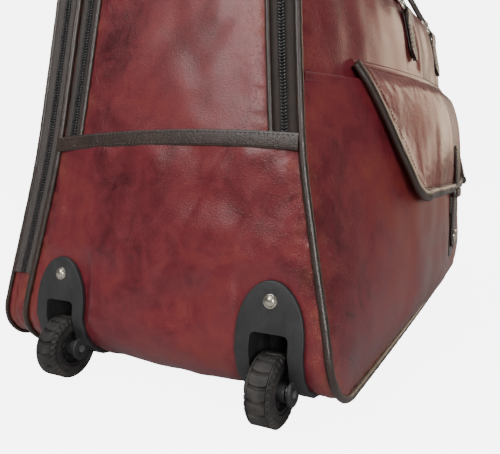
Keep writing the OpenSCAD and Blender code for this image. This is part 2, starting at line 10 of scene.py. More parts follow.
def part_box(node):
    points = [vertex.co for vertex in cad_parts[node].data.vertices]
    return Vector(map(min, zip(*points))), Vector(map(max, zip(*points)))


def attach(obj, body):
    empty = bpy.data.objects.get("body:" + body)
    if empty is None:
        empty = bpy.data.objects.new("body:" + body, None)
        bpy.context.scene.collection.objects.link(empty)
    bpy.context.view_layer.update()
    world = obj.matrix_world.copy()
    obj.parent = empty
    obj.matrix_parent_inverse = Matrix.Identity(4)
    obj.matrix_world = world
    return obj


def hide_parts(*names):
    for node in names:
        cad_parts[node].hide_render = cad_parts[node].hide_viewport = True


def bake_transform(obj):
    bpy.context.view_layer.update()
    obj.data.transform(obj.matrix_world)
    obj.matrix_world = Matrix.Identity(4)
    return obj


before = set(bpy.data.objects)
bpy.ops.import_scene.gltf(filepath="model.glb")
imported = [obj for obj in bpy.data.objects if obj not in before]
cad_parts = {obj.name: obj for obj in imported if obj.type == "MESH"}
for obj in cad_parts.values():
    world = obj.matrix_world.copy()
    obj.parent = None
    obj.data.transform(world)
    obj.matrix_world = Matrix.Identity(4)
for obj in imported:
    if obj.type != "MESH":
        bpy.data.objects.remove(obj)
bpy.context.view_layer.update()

bl_info = {
    "name": "Rolling Flight Duffel",
    "version": (1, 0, 0),
    "blender": (4, 5, 0),
    "location": "3D View > Sidebar > Duffel",
    "description": "Models the leather, zips, wheels and fittings of a rolling flight duffel",
    "category": "Object",
}


# ---------------------------------------------------------------- form of the bag

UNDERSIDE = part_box("front_panel")[0].z
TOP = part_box("top_panel")[1].z
HALF_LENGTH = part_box("front_panel")[1].x
CORNER_RADIUS = 0.035
CROWN_RADIUS = 0.05
END_LEAN = 0.157  # how far an end leans in for each metre of height
CORNER_Z = UNDERSIDE + CORNER_RADIUS
CROWN_Z = TOP - CROWN_RADIUS
LEAN_X = HALF_LENGTH - END_LEAN * (CROWN_Z - CORNER_Z) - CROWN_RADIUS
BASE_X = HALF_LENGTH - CORNER_RADIUS
# half widths of the bag at its ends and at its middle, as (height, half width)
END_WIDTHS = [(UNDERSIDE, 0.140), (0.06, 0.134), (0.12, 0.121), (0.18, 0.109), (0.25, 0.101),
              (0.30, 0.096), (0.335, 0.090), (TOP, 0.084)]
MIDDLE_WIDTHS = [(UNDERSIDE, 0.142), (0.06, 0.148), (0.18, 0.146), (0.25, 0.141),
                 (0.305, 0.131), (0.335, 0.106), (TOP, 0.085)]
FOLD_Z = 0.25215
FOLD_Y = -0.1411
SLIM_FOLD_Z = 0.10015
SLIM_DEPTH = 0.0265
SLIM_INSET = 0.002
ZIP_START = 0.198
TAPE_WIDTH = 0.019
PANEL = 0.0024  # thickness of a side panel
POCKET_DEPTH = 0.020
# share of the pocket's depth at each height
POCKET_RISE = [(0.02, 0), (0.06, 0.9), (0.10, 1), (0.19, 1), (0.232, 0.7), (0.248, 0)]
POCKET_MOUTH = 0.232
FRONT_WAY = Vector((0, -1, 0))  # straight out of the front side
BAG_CENTRE = Vector((0, 0, (UNDERSIDE + TOP) / 2))


def smooth(table, place):
    """Value at place on a smooth curve through the table's (place, value) points."""
    last = len(table) - 1
    if place <= table[0][0]:
        return table[0][1]
    if place >= table[last][0]:
        return table[last][1]
    i = max(k for k in range(last) if table[k][0] <= place)

    def slope(k):
        low, high = table[max(k - 1, 0)], table[min(k + 1, last)]
        return (high[1] - low[1]) / (high[0] - low[0])

    (x0, y0), (x1, y1) = table[i], table[i + 1]
    span = x1 - x0
    t = (place - x0) / span
    return ((1 + 2 * t) * (1 - t) ** 2 * y0 + t * (1 - t) ** 2 * span * slope(i)
            + t * t * (3 - 2 * t) * y1 + t * t * (t - 1) * span * slope(i + 1))


def ease(low, high, value):
    """0 below low, 1 above high and a soft step between."""
    t = min(1, max(0, (value - low) / (high - low)))
    return t * t * (3 - 2 * t)


def signed_power(value, power):
    """A value raised to a power with its sign kept, which squares off a round section."""
    return math.copysign(abs(value) ** power, value)


def end_x(z):
    """Half length of the bag at a height."""
    if z < CORNER_Z:
        return BASE_X + math.sqrt(max(0, CORNER_RADIUS ** 2 - (CORNER_Z - z) ** 2))
    if z < CROWN_Z:
        return HALF_LENGTH - END_LEAN * (z - CORNER_Z)
    return LEAN_X + math.sqrt(max(0, CROWN_RADIUS ** 2 - (z - CROWN_Z) ** 2))


def side_y(u, z):
    """Half width of the bag at a height, u of the way from its middle to its end."""
    end = smooth(END_WIDTHS, z)
    return end + (smooth(MIDDLE_WIDTHS, z) - end) * (1 - u * u)


def pocket_y(x, z, lift=0):
    """Y of the pocket's face, or of the bare side above it, moved out by lift."""
    u = min(1, abs(x) / end_x(z))
    rise = POCKET_DEPTH * (1 - u * u) ** 1.5 * smooth(POCKET_RISE, z)
    return -side_y(u, z) - rise - lift


def half_outline():
    """Side view of half the bag from the middle of the top to the middle of the underside."""
    quarter = np.linspace(0, math.pi / 2, 40)
    points = [(x, TOP) for x in np.arange(0, LEAN_X, 0.002)]
    points += [(LEAN_X + CROWN_RADIUS * math.sin(a), CROWN_Z + CROWN_RADIUS * math.cos(a))
               for a in quarter]
    points += [(end_x(z), z) for z in np.arange(CROWN_Z, CORNER_Z, -0.002)]
    points += [(BASE_X + CORNER_RADIUS * math.cos(a), CORNER_Z - CORNER_RADIUS * math.sin(a))
               for a in quarter]
    points += [(x, UNDERSIDE) for x in np.arange(BASE_X, 0, -0.002)]
    line = np.array(points)
    steps = np.r_[0, np.cumsum(np.hypot(*np.diff(line, axis=0).T))]
    even = np.linspace(0, steps[-1], 800)
    line = np.c_[np.interp(even, steps, line[:, 0]), np.interp(even, steps, line[:, 1])]
    kernel = np.ones(9) / 9
    soft = np.c_[[np.convolve(line[:, k], kernel, "same") for k in (0, 1)]].T
    line[5:-5] = soft[5:-5]
    turn = np.gradient(line, axis=0)
    turn /= np.linalg.norm(turn, axis=1)[:, None]
    return even, line, np.c_[-turn[:, 1], turn[:, 0]]


RIM_D, RIM_LINE, RIM_NORMAL = half_outline()
HIGH_HALF = RIM_LINE[:, 1] > UNDERSIDE + 0.0005


def rim(d):
    """Point, outward normal and half width where the outline is d from the top's middle.
    d is negative towards the wheel end and runs on under the bag past the outline's half."""
    if d > RIM_D[-1]:
        d -= 2 * RIM_D[-1]
    x, z = (float(np.interp(abs(d), RIM_D, RIM_LINE[:, k])) for k in (0, 1))
    nx, nz = (float(np.interp(abs(d), RIM_D, RIM_NORMAL[:, k])) for k in (0, 1))
    sign = -1 if d < 0 else 1
    level = min(max(z, UNDERSIDE), TOP)
    width = side_y(min(1, x / end_x(level)), level)
    return Vector((sign * x, 0, z)), Vector((sign * nx, 0, nz)).normalized(), width


def rim_at(z):
    """Distance along the outline from the top's middle down to a height on the end."""
    part = RIM_LINE[:, 1] < TOP - 0.0005
    return float(np.interp(-z, -RIM_LINE[part & HIGH_HALF, 1], RIM_D[part & HIGH_HALF]))


def rim_under(x):
    """Distance along the outline to a place on the underside."""
    return float(RIM_D[-1] - x)


# ---------------------------------------------------------------- making pieces


def clear_selection():
    """Deselects everything, because the frame's nodes are selected after loading."""
    if bpy.context.object and bpy.context.object.mode != "OBJECT":
        bpy.ops.object.mode_set(mode="OBJECT")
    bpy.ops.object.select_all(action="DESELECT")


def focus(piece):
    """Makes a piece the active object and the only selected one."""
    clear_selection()
    bpy.context.view_layer.objects.active = piece
    piece.select_set(True)


def started(name):
    """The primitive that was just added, named and with its place in its mesh."""
    piece = bpy.context.object
    piece.name = name
    piece.data.name = name
    bpy.ops.object.transform_apply(location=True, rotation=True, scale=True)
    return piece


def edit(piece, *steps):
    """Runs edit-mode steps with the whole mesh of the piece selected."""
    focus(piece)
    bpy.ops.object.mode_set(mode="EDIT")
    bpy.ops.mesh.select_all(action="SELECT")
    for step in steps:
        step()
    bpy.ops.object.mode_set(mode="OBJECT")


def modify(piece, kind, **settings):
    """Adds a modifier and applies it."""
    focus(piece)
    modifier = piece.modifiers.new(kind.title(), kind)
    for key, value in settings.items():
        setattr(modifier, key, value)
    bpy.ops.object.modifier_apply(modifier=modifier.name)


def round_off(piece, angle):
    """Smooth shading that keeps creases sharper than angle."""
    focus(piece)
    bpy.ops.object.shade_smooth_by_angle(angle=math.radians(angle))


def move_vertices(piece, points):
    """Puts the vertices of a piece at an array of points."""
    piece.data.vertices.foreach_set("co", points.astype(np.float32).ravel())
    piece.data.update()


def laid_grid(name, columns, rows, place):
    """Grid whose vertices are laid out by place(s, t), with s and t from 0 to 1."""
    clear_selection()
    bpy.ops.mesh.primitive_grid_add(x_subdivisions=columns, y_subdivisions=rows, size=1)
    piece = started(name)
    flat = [(v.co.x + 0.5, v.co.y + 0.5) for v in piece.data.vertices]
    points = np.array([place(s, t) for s, t in flat])
    move_vertices(piece, points)
    return piece, flat, points


def store(piece, name, values, kind="FLOAT"):
    """Keeps a value at each vertex, for the materials."""
    attribute = piece.data.attributes.new(name, kind, "POINT")
    key = "value" if kind == "FLOAT" else "vector"
    attribute.data.foreach_set(key, np.asarray(values, np.float32).ravel())


def real_size_uv(piece, width, length):
    """Scales the grid's own UV map to metres."""
    layer = piece.data.uv_layers.active.data
    uv = np.zeros(len(layer) * 2, np.float32)
    layer.foreach_get("uv", uv)
    layer.foreach_set("uv", (uv.reshape(-1, 2) * (width, length)).ravel())


def turn_outwards(piece, centre=BAG_CENTRE):
    """Turns an open sheet so that its faces point away from the centre."""
    facing = sum((p.center - centre).dot(p.normal) * p.area for p in piece.data.polygons)
    if facing < 0:
        piece.data.flip_normals()


def drape(name, columns, rows, place, seam=None, relief=None, *, size, centre=BAG_CENTRE,
          thickness=None, cut=None):
    """Sheet laid out by place(s, t), raised by relief(point, seam distance) along its
    normals, cut where cut(point) is true, and given its thickness inwards. Its flat size is
    for the materials."""
    piece, flat, points = laid_grid(name, columns, rows, place)
    turn_outwards(piece, centre)
    distance = [seam(s, t) if seam else 1 for s, t in flat]
    if relief:
        normals = np.array([v.normal[:] for v in piece.data.vertices])
        lift = np.array([relief(Vector(p), d) for p, d in zip(points, distance)])
        points = points + normals * lift[:, None]
        move_vertices(piece, points)
    store(piece, "seam", distance)
    store(piece, "rest", points, "FLOAT_VECTOR")
    # Painted sheen mask: rises towards the right of the front side, where the tan reflection of the
    # warm front light is painted into the colour
    store(piece, "painted_sheen", [ease(-0.20, 0.10, x) if y < -0.1 else 0 for x, y, _ in points])
    real_size_uv(piece, *size)
    if cut:
        doomed = [cut(p.center) for p in piece.data.polygons]

        def choose():
            bpy.ops.mesh.select_all(action="DESELECT")
            bpy.ops.object.mode_set(mode="OBJECT")
            piece.data.polygons.foreach_set("select", doomed)
            bpy.ops.object.mode_set(mode="EDIT")
            bpy.ops.mesh.delete(type="FACE")

        edit(piece, lambda: bpy.ops.mesh.select_mode(type="FACE"), choose)
    modify(piece, "SOLIDIFY", thickness=thickness or sizes().leather, offset=-1)
    round_off(piece, 50)
    return piece


def tube(name, around, along, line, section, closed=False, size=(0.02, 0.5)):
    """Closed form with its section(angle) carried along line(t) = centre, side, up."""
    frames = {}

    def place(s, t):
        key = round(t, 6)
        if key not in frames:
            frames[key] = line(t)
        middle, side, up = frames[key]
        p, q = section(2 * math.pi * s, t)
        return middle + side * p + up * q

    piece, _, points = laid_grid(name, around, along, place)
    real_size_uv(piece, *size)
    store(piece, "rest", points, "FLOAT_VECTOR")
    store(piece, "seam", [1] * len(points))
    steps = [lambda: bpy.ops.mesh.remove_doubles(threshold=1e-6)]
    if not closed:
        steps.append(lambda: bpy.ops.mesh.fill_holes(sides=0))
    steps.append(lambda: bpy.ops.mesh.normals_make_consistent(inside=False))
    edit(piece, *steps)
    round_off(piece, 50)
    return piece


def oval(width, height, power=1):
    """Section that is round at power 1 and squarer below it."""

    def section(angle, _):
        c, s = math.cos(angle), math.sin(angle)
        return width / 2 * signed_power(c, power), height / 2 * signed_power(s, power)

    return section


def through(points):
    """line(t) for tube() along points, with up given for each as (point, up) pairs."""
    places = np.array([p[:] for p, _ in points])
    ups = np.array([u[:] for _, u in points])
    steps = np.r_[0, np.cumsum(np.linalg.norm(np.diff(places, axis=0), axis=1))]
    steps /= steps[-1]

    def line(t):
        middle = Vector([np.interp(t, steps, places[:, k]) for k in range(3)])
        ahead = Vector([np.interp(min(1, t + 0.002), steps, places[:, k])
                        - np.interp(max(0, t - 0.002), steps, places[:, k]) for k in range(3)])
        up = Vector([np.interp(t, steps, ups[:, k]) for k in range(3)])
        side = up.cross(ahead).normalized()
        return middle, side, ahead.cross(side).normalized()

    return line


def repeat(name, unit, places):
    """One piece that holds a copy of the unit's mesh at each place, a 4x4 matrix."""
    source = np.array([v.co[:] for v in unit.data.vertices])
    faces = [tuple(p.vertices) for p in unit.data.polygons]
    points, polygons = [], []
    for k, place in enumerate(places):
        m = np.array(place)
        points.append(source @ m[:3, :3].T + m[:3, 3])
        polygons += [tuple(i + k * len(source) for i in face) for face in faces]
    mesh = bpy.data.meshes.new(name)
    mesh.from_pydata(np.concatenate(points).tolist(), [], polygons)
    piece = bpy.data.objects.new(name, mesh)
    bpy.context.scene.collection.objects.link(piece)
    bpy.data.objects.remove(unit)
    store(piece, "rest", np.concatenate(points), "FLOAT_VECTOR")
    round_off(piece, 40)
    return piece


def bead(length, width, height):
    """Small rounded bar along X, for stitches and zip teeth."""
    clear_selection()
    bpy.ops.mesh.primitive_uv_sphere_add(segments=6, ring_count=4, radius=0.5,
                                         rotation=(0, math.pi / 2, 0))
    unit = started("unit")
    edit(unit, lambda: bpy.ops.transform.resize(value=(length, width, height)))
    return unit


def frame_matrix(middle, along, up):
    """Matrix that puts X along a line and Z up off the surface."""
    x = along.normalized()
    y = up.cross(x).normalized()
    return Matrix.Translation(middle) @ Matrix((x, y, x.cross(y))).transposed().to_4x4()


def stitches(name, points, body, lift=0.0003):
    """Row of stitches along (point, up) pairs."""
    line = through(points)
    length = sum((a[0] - b[0]).length for a, b in zip(points, points[1:]))
    pitch = sizes().stitch * 1.45
    count = max(2, int(length / pitch))
    places = []
    for k in range(count):
        middle, side, up = line((k + 0.5) / count)
        places.append(frame_matrix(middle + up * lift, side.cross(up), up))
    unit = bead(sizes().stitch, 0.0007, 0.0006)
    return finish_piece(repeat(name, unit, places), body, "thread")


def joined(name, pieces):
    """Joins like pieces into one."""
    clear_selection()
    for piece in pieces:
        piece.select_set(True)
    bpy.context.view_layer.objects.active = pieces[0]
    bpy.ops.object.join()
    pieces[0].name = name
    return pieces[0]


def from_node(node, bevel, segments=2, angle=30):
    """Copy of a frame node, merged and with its edges rounded over."""
    clear_selection()
    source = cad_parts[node]
    piece = bpy.data.objects.new(node + "_shape", source.data.copy())
    piece.data.materials.clear()
    bpy.context.scene.collection.objects.link(piece)
    edit(piece,
         lambda: bpy.ops.mesh.remove_doubles(threshold=1e-6),
         lambda: bpy.ops.mesh.dissolve_limited(angle_limit=math.radians(1.5)))
    modify(piece, "BEVEL", width=bevel, segments=segments, limit_method="ANGLE",
           angle_limit=math.radians(angle), use_clamp_overlap=True)
    round_off(piece, 32)
    return piece


def finish_piece(piece, body, finish, *nodes, blend=None):
    """Gives a piece its material and slot, and puts it on its body or across a joint."""
    piece.data.materials.clear()
    piece.data.materials.append(material(finish))
    if blend:
        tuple(blend[1])
        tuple(blend[2])
        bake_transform(piece)
    else:
        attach(piece, body)
    if nodes:
        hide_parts(*nodes)
    return piece


FRONT_FOLD = ("front_cover", (0, FOLD_Y, FOLD_Z - 0.005), (0, FOLD_Y, FOLD_Z + 0.009))
SLIM_FOLD = ("slim_cover", (0, 0, SLIM_FOLD_Z + 0.001), (0, 0, SLIM_FOLD_Z + 0.015))


def sizes():
    """The sizes in the sidebar."""
    return bpy.context.scene.duffel_sizes


def colours():
    """The colours in the sidebar."""
    return bpy.context.scene.duffel_colours


def crumple(point, scale, seed):
    """Smooth noise from -1 to 1 at a scale in metres."""
    return noise.noise(point / scale + Vector((seed, 3 * seed, -seed)))


def leather_relief(full=0.0016, pucker=0.0007, dent=0.0009):
    """Puffs a panel between its seams, with small gathers at the seams and soft dents."""

    def relief(point, seam):
        rise = full * (1 - math.exp(-seam / 0.016)) - 0.0009 * math.exp(-seam / 0.004)
        gather = pucker * math.exp(-seam / 0.013) * (
            crumple(point, 0.006, 1) + 0.6 * crumple(point, 0.0035, 4))
        soft = dent * (crumple(point, 0.045, 2) + 0.5 * crumple(point, 0.02, 3))
        return rise + gather + soft * min(1, seam / 0.02)

    return relief


# ---------------------------------------------------------------- materials


def put_in(tree, node, sockets):
    """Sets a node's sockets, each to a number, a colour or another node's output."""
    for key, value in sockets.items():
        if isinstance(value, bpy.types.NodeSocket):
            tree.links.new(value, node.inputs[key])
        else:
            node.inputs[key].default_value = value


def put(tree, kind, sockets=None, **settings):
    """Adds a shader node with its settings and sockets."""
    node = tree.nodes.new("ShaderNode" + kind)
    for key, value in settings.items():
        setattr(node, key, value)
    put_in(tree, node, sockets or {})
    return node


def ramp(tree, value, *stops):
    """Colour ramp through (place, colour) stops."""
    node = put(tree, "ValToRGB", {"Fac": value})
    points = node.color_ramp.elements
    while len(points) < len(stops):
        points.new(0.5)
    for point, (place, colour) in zip(points, stops):
        point.position = place
        point.color = (*colour, 1) if hasattr(colour, "__len__") else (colour,) * 3 + (1,)
    return node.outputs["Color"]


def blended(tree, share, low, high):
    """Mixes two colours, each an output or three numbers."""
    a, b = (value if isinstance(value, bpy.types.NodeSocket) else (*value, 1)
            for value in (low, high))
    return put(tree, "Mix", {0: share, 6: a, 7: b}, data_type="RGBA").outputs[2]


def sums(tree, operation, a, b=0.5):
    """One Math node."""
    return put(tree, "Math", {0: a, 1: b}, operation=operation).outputs[0]


def group(name, inputs, outputs, build):
    """Node group with named sockets, built once."""
    tree = bpy.data.node_groups.get(name)
    if tree:
        return tree
    tree = bpy.data.node_groups.new(name, "ShaderNodeTree")
    for label, kind in inputs:
        tree.interface.new_socket(label, in_out="INPUT", socket_type="NodeSocket" + kind)
    for label, kind in outputs:
        tree.interface.new_socket(label, in_out="OUTPUT", socket_type="NodeSocket" + kind)
    start = tree.nodes.new("NodeGroupInput").outputs
    end = tree.nodes.new("NodeGroupOutput")
    for label, socket in build(tree, start).items():
        tree.links.new(socket, end.inputs[label])
    return tree


def leather_surface():
    """Mottling, grain and creases of waxed leathercloth."""

    def build(tree, given):
        place, seam = given["Place"], given["Seam"]
        broad = put(tree, "TexNoise", {"Vector": place, "Scale": 11.0, "Detail": 5.0,
                                       "Roughness": 0.62, "Distortion": 0.7})
        cloud = put(tree, "TexNoise", {"Vector": place, "Scale": 46.0, "Detail": 4.0,
                                       "Roughness": 0.6, "Distortion": 1.2})
        tone = sums(tree, "ADD", sums(tree, "MULTIPLY", broad.outputs["Fac"], 0.65),
                    sums(tree, "MULTIPLY", cloud.outputs["Fac"], 0.35))
        grain = put(tree, "TexVoronoi", {"Vector": place, "Scale": 1150.0}, feature="SMOOTH_F1")
        warped = put(tree, "TexNoise", {"Vector": place, "Scale": 60.0, "Detail": 3.0})
        shifted = put(tree, "VectorMath", {0: warped.outputs["Color"], "Scale": 0.035},
                      operation="SCALE")
        crease_place = put(tree, "VectorMath", {0: place, 1: shifted.outputs[0]},
                           operation="ADD")
        crease = put(tree, "TexVoronoi", {"Vector": crease_place.outputs[0], "Scale": 120.0},
                     feature="DISTANCE_TO_EDGE")
        lines = ramp(tree, crease.outputs["Distance"], (0.0, 0.0), (0.06, 1.0))
        near = ramp(tree, sums(tree, "DIVIDE", seam, 0.035), (0.0, 1.0), (1.0, 0.12))
        patches = ramp(tree, cloud.outputs["Fac"], (0.42, 0.0), (0.62, 1.0))
        depth = sums(tree, "MULTIPLY", near, sums(tree, "ADD", patches, 0.25))
        cracks = sums(tree, "MULTIPLY", sums(tree, "SUBTRACT", 1.0, lines), depth)
        height = sums(tree, "SUBTRACT", sums(tree, "MULTIPLY", grain.outputs["Distance"], 0.35),
                      sums(tree, "MULTIPLY", cracks, 0.45))
        return {"Tone": tone, "Cracks": cracks, "Height": height}

    return group("Leather surface", [("Place", "Vector"), ("Seam", "Float")],
                 [("Tone", "Float"), ("Cracks", "Float"), ("Height", "Float")], build)


def edge_wear_and_highlight():
    """Mask that is strong close to a seam and broken up by noise."""

    def build(tree, given):
        near = ramp(tree, sums(tree, "DIVIDE", given["Seam"], given["Reach"]),
                    (0.0, 1.0), (1.0, 0.0))
        spots = put(tree, "TexNoise", {"Vector": given["Place"], "Scale": 90.0, "Detail": 5.0})
        broken = ramp(tree, spots.outputs["Fac"], (0.4, 0.0), (0.66, 1.0))
        return {"Mask": sums(tree, "MULTIPLY", near, broken)}

    return group("Edge wear and highlight", [("Place", "Vector"), ("Seam", "Float"), ("Reach", "Float")],
                 [("Mask", "Float")], build)


def dusting():
    """Thin uneven film of dust and scuffs."""

    def build(tree, given):
        film = put(tree, "TexNoise", {"Vector": given["Place"], "Scale": 70.0, "Detail": 8.0,
                                      "Roughness": 0.7})
        return {"Mask": ramp(tree, film.outputs["Fac"], (0.45, 0.0), (0.75, 1.0))}

    return group("Dusting", [("Place", "Vector")], [("Mask", "Float")], build)


def weaving():
    """Over and under of a woven cloth, from a map in metres."""

    def build(tree, given):
        parts = put(tree, "SeparateXYZ", {0: given["Place"]})
        turns = [sums(tree, "SINE", sums(tree, "MULTIPLY", parts.outputs[k], given["Threads"]))
                 for k in (0, 1)]
        return {"Height": sums(tree, "MULTIPLY", turns[0], turns[1])}

    return group("Weaving", [("Place", "Vector"), ("Threads", "Float")],
                 [("Height", "Float")], build)


def use(tree, made, **sockets):
    """Outputs of a node group placed in the tree."""
    return put(tree, "Group", sockets, node_tree=made).outputs


def bump(tree, height, strength, distance):
    """Normal from a height."""
    return put(tree, "Bump", {"Strength": strength, "Distance": distance, "Height": height}
               ).outputs["Normal"]


def rest_place(tree):
    """Where a point was sewn, which stays with the leather as it folds."""
    return put(tree, "Attribute", attribute_name="rest").outputs["Vector"]


def seam_gap(tree):
    """Distance from the nearest seam."""
    return put(tree, "Attribute", attribute_name="seam").outputs["Fac"]


def object_place(tree):
    """Place on a piece that keeps its shape."""
    return put(tree, "TexCoord").outputs["Object"]


def burgundy_material(tree, shader):
    place, seam = rest_place(tree), seam_gap(tree)
    skin = use(tree, leather_surface(), Place=place, Seam=seam)
    wear_and_highlight = use(tree, edge_wear_and_highlight(), Place=place, Seam=seam, Reach=0.014)
    c = colours()
    base = ramp(tree, skin["Tone"], (0.34, c.burgundy_dark[:]), (0.5, c.burgundy[:]),
                (0.66, c.burgundy_light[:]))
    base = blended(tree, sums(tree, "MULTIPLY", skin["Cracks"], 0.55), base, c.burgundy_dark[:])
    # Tan beside the seams: partly rubbed wear, partly a painted highlight where the seam edges
    # catch the light
    base = blended(tree, sums(tree, "MULTIPLY", wear_and_highlight["Mask"], 0.35), base, c.tan[:])
    # Painted sheen: tan streaks along the flutes, only where the painted sheen mask marks the right
    # of the front, in place of the warm light's reflection
    streak = put(tree, "Mapping", {"Vector": place, "Scale": (34, 34, 5)}).outputs["Vector"]
    sheen_streaks = put(tree, "TexNoise", {"Vector": streak, "Scale": 1.0, "Detail": 3.0})
    sheen_streaks = ramp(tree, sheen_streaks.outputs["Fac"], (0.36, 0.0), (0.62, 1.0))
    painted_sheen = put(tree, "Attribute", attribute_name="painted_sheen").outputs["Fac"]
    base = blended(tree, sums(tree, "MULTIPLY", sums(tree, "MULTIPLY", sheen_streaks, painted_sheen), 0.7),
                   base, c.tan[:])
    rough = ramp(tree, skin["Tone"], (0.36, 0.27), (0.62, 0.42))
    put_in(tree, shader, {"Base Color": base, "Roughness": rough, "Coat Weight": 0.35,
                          "Coat Roughness": 0.2, "Specular IOR Level": 0.4,
                          "Specular Tint": (1, 0.72, 0.62, 1),
                          "Normal": bump(tree, skin["Height"], 0.45, 0.0011)})


def trim_material(tree, shader):
    place = rest_place(tree)
    skin = use(tree, leather_surface(), Place=place, Seam=0.02)
    c = colours()
    base = ramp(tree, skin["Tone"], (0.38, [v * 0.6 for v in c.brown]), (0.6, c.brown[:]))
    rub = use(tree, dusting(), Place=place)
    base = blended(tree, sums(tree, "MULTIPLY", rub["Mask"], 0.3), base,
                   [v * 2.2 for v in c.brown])
    put_in(tree, shader, {"Base Color": base, "Roughness": 0.36, "Coat Weight": 0.3,
                          "Coat Roughness": 0.25,
                          "Normal": bump(tree, skin["Height"], 0.5, 0.0011)})


def tape_material(tree, shader):
    place = put(tree, "UVMap").outputs["UV"]
    cloth = use(tree, weaving(), Place=place, Threads=5200.0)
    dust = use(tree, dusting(), Place=rest_place(tree))
    base = blended(tree, dust["Mask"], colours().tape[:], [v * 1.7 for v in colours().tape])
    base = blended(tree, sums(tree, "MULTIPLY", cloth["Height"], 0.4), base, (0.01, 0.008, 0.007))
    put_in(tree, shader, {"Base Color": base, "Roughness": 0.82, "Sheen Weight": 0.25,
                          "Normal": bump(tree, cloth["Height"], 0.6, 0.0004)})


def lining_material(tree, shader):
    place = object_place(tree)
    cloth = use(tree, weaving(), Place=place, Threads=3200.0)
    base = blended(tree, sums(tree, "ADD", cloth["Height"], 0.5), (0.10, 0.075, 0.06),
                   (0.19, 0.15, 0.12))
    put_in(tree, shader, {"Base Color": base, "Roughness": 0.9,
                          "Normal": bump(tree, cloth["Height"], 0.5, 0.0004)})


def moulded_material(colour, rough, grain=900.0, dusty=0.15):
    """Moulded plastic or rubber with a fine texture and a little dust."""

    def build(tree, shader):
        place = object_place(tree)
        speck = put(tree, "TexNoise", {"Vector": place, "Scale": grain, "Detail": 3.0})
        dust = use(tree, dusting(), Place=place)
        share = sums(tree, "MULTIPLY", dust["Mask"], dusty)
        base = blended(tree, share, colour, (0.32, 0.28, 0.24))
        put_in(tree, shader, {"Base Color": base,
                              "Roughness": ramp(tree, dust["Mask"], (0, rough), (1, rough + 0.2)),
                              "Normal": bump(tree, speck.outputs["Fac"], 0.35, 0.0004)})

    return build


def metal_material(colour, rough, streak=1.0):
    """Metal with faint brushed streaks and handling marks."""

    def build(tree, shader):
        place = put(tree, "Mapping", {"Vector": object_place(tree),
                                      "Scale": (1, streak, streak)}).outputs["Vector"]
        marks = put(tree, "TexNoise", {"Vector": place, "Scale": 160.0, "Detail": 6.0,
                                       "Roughness": 0.7})
        base = ramp(tree, marks.outputs["Fac"], (0.35, [v * 0.8 for v in colour]), (0.65, colour))
        put_in(tree, shader, {"Base Color": base, "Metallic": 1.0,
                              "Roughness": ramp(tree, marks.outputs["Fac"], (0.3, rough),
                                                (0.7, rough + 0.16)),
                              "Normal": bump(tree, marks.outputs["Fac"], 0.08, 0.0004)})

    return build


def thread_material(tree, shader):
    twist = put(tree, "TexWave", {"Vector": rest_place(tree), "Scale": 900.0, "Distortion": 2.0})
    base = blended(tree, twist.outputs["Fac"], (0.035, 0.022, 0.02), (0.10, 0.07, 0.06))
    put_in(tree, shader, {"Base Color": base, "Roughness": 0.7})


FINISHES = {
    "burgundy": burgundy_material, "trim": trim_material, "tape": tape_material,
    "lining": lining_material, "thread": thread_material,
    "coil": moulded_material((0.012, 0.012, 0.014), 0.26, 1400.0, 0.05),
    "nickel": metal_material((0.72, 0.66, 0.55), 0.16),
    "housing": moulded_material((0.017, 0.017, 0.018), 0.44, 1300.0, 0.05),
    "moulded": moulded_material((0.010, 0.010, 0.011), 0.45, 1300.0, 0.07),
    "rubber": moulded_material((0.012, 0.010, 0.009), 0.62, 700.0, 0.16),
    "steel": metal_material((0.55, 0.55, 0.56), 0.28),
    "alloy": metal_material((0.68, 0.69, 0.71), 0.27, 12.0),
    "board": moulded_material((0.03, 0.03, 0.03), 0.6),
}


def material(finish):
    """The material of a finish, made on first use."""
    name = "Duffel " + finish
    made = bpy.data.materials.get(name)
    if made is None:
        made = bpy.data.materials.new(name)
        made.use_nodes = True
        FINISHES[finish](made.node_tree, made.node_tree.nodes["Principled BSDF"])
    return made


# ---------------------------------------------------------------- leather body

SEAM_HIDE = 0.0012


def end_sheet(name, sign, low, high, narrow, columns, rows, cut=None):
    """Panel across an end or the top between two distances along the outline, kept narrow
    of the bag's long edges."""

    def place(s, t):
        middle, normal, width = rim(sign * (low + (high - low) * t))
        return middle + Vector((0, (2 * s - 1) * (width - narrow), 0)) - normal * 0.0004

    def seam(s, t):
        width = rim(low + (high - low) * t)[2] - narrow
        return max(0, (1 - abs(2 * s - 1)) * width)

    return drape(name, columns, rows, place, seam, end_relief, cut=cut,
                 size=(0.25, high - low))


WHEEL_Y = abs(sum(corner.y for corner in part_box("front_wheel_hub"))) / 2
WELL_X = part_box("front_wheel_housing")[1].x - 0.005
WELL_HALF, WELL_TOP = 0.0165, 0.066
TUBE_Y, TUBE_Z, TUBE_HOLE = 0.075, 0.04, 0.0078
HOUSING_HALF, HOUSING_TOP = 0.024, 0.092
BEZEL_HALF_WIDTH, BEZEL_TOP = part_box("handle_bezel")[1].yz


def in_wheel_well(point):
    """Whether a point lies where a wheel passes through the leather."""
    return abs(abs(point.y) - WHEEL_Y) < WELL_HALF and point.z < WELL_TOP and point.x < WELL_X


def in_tube_hole(point):
    """Whether a point lies where a tube of the telescopic handle leaves the bag."""
    return math.hypot(abs(point.y) - TUBE_Y, point.z - TUBE_Z) < TUBE_HOLE


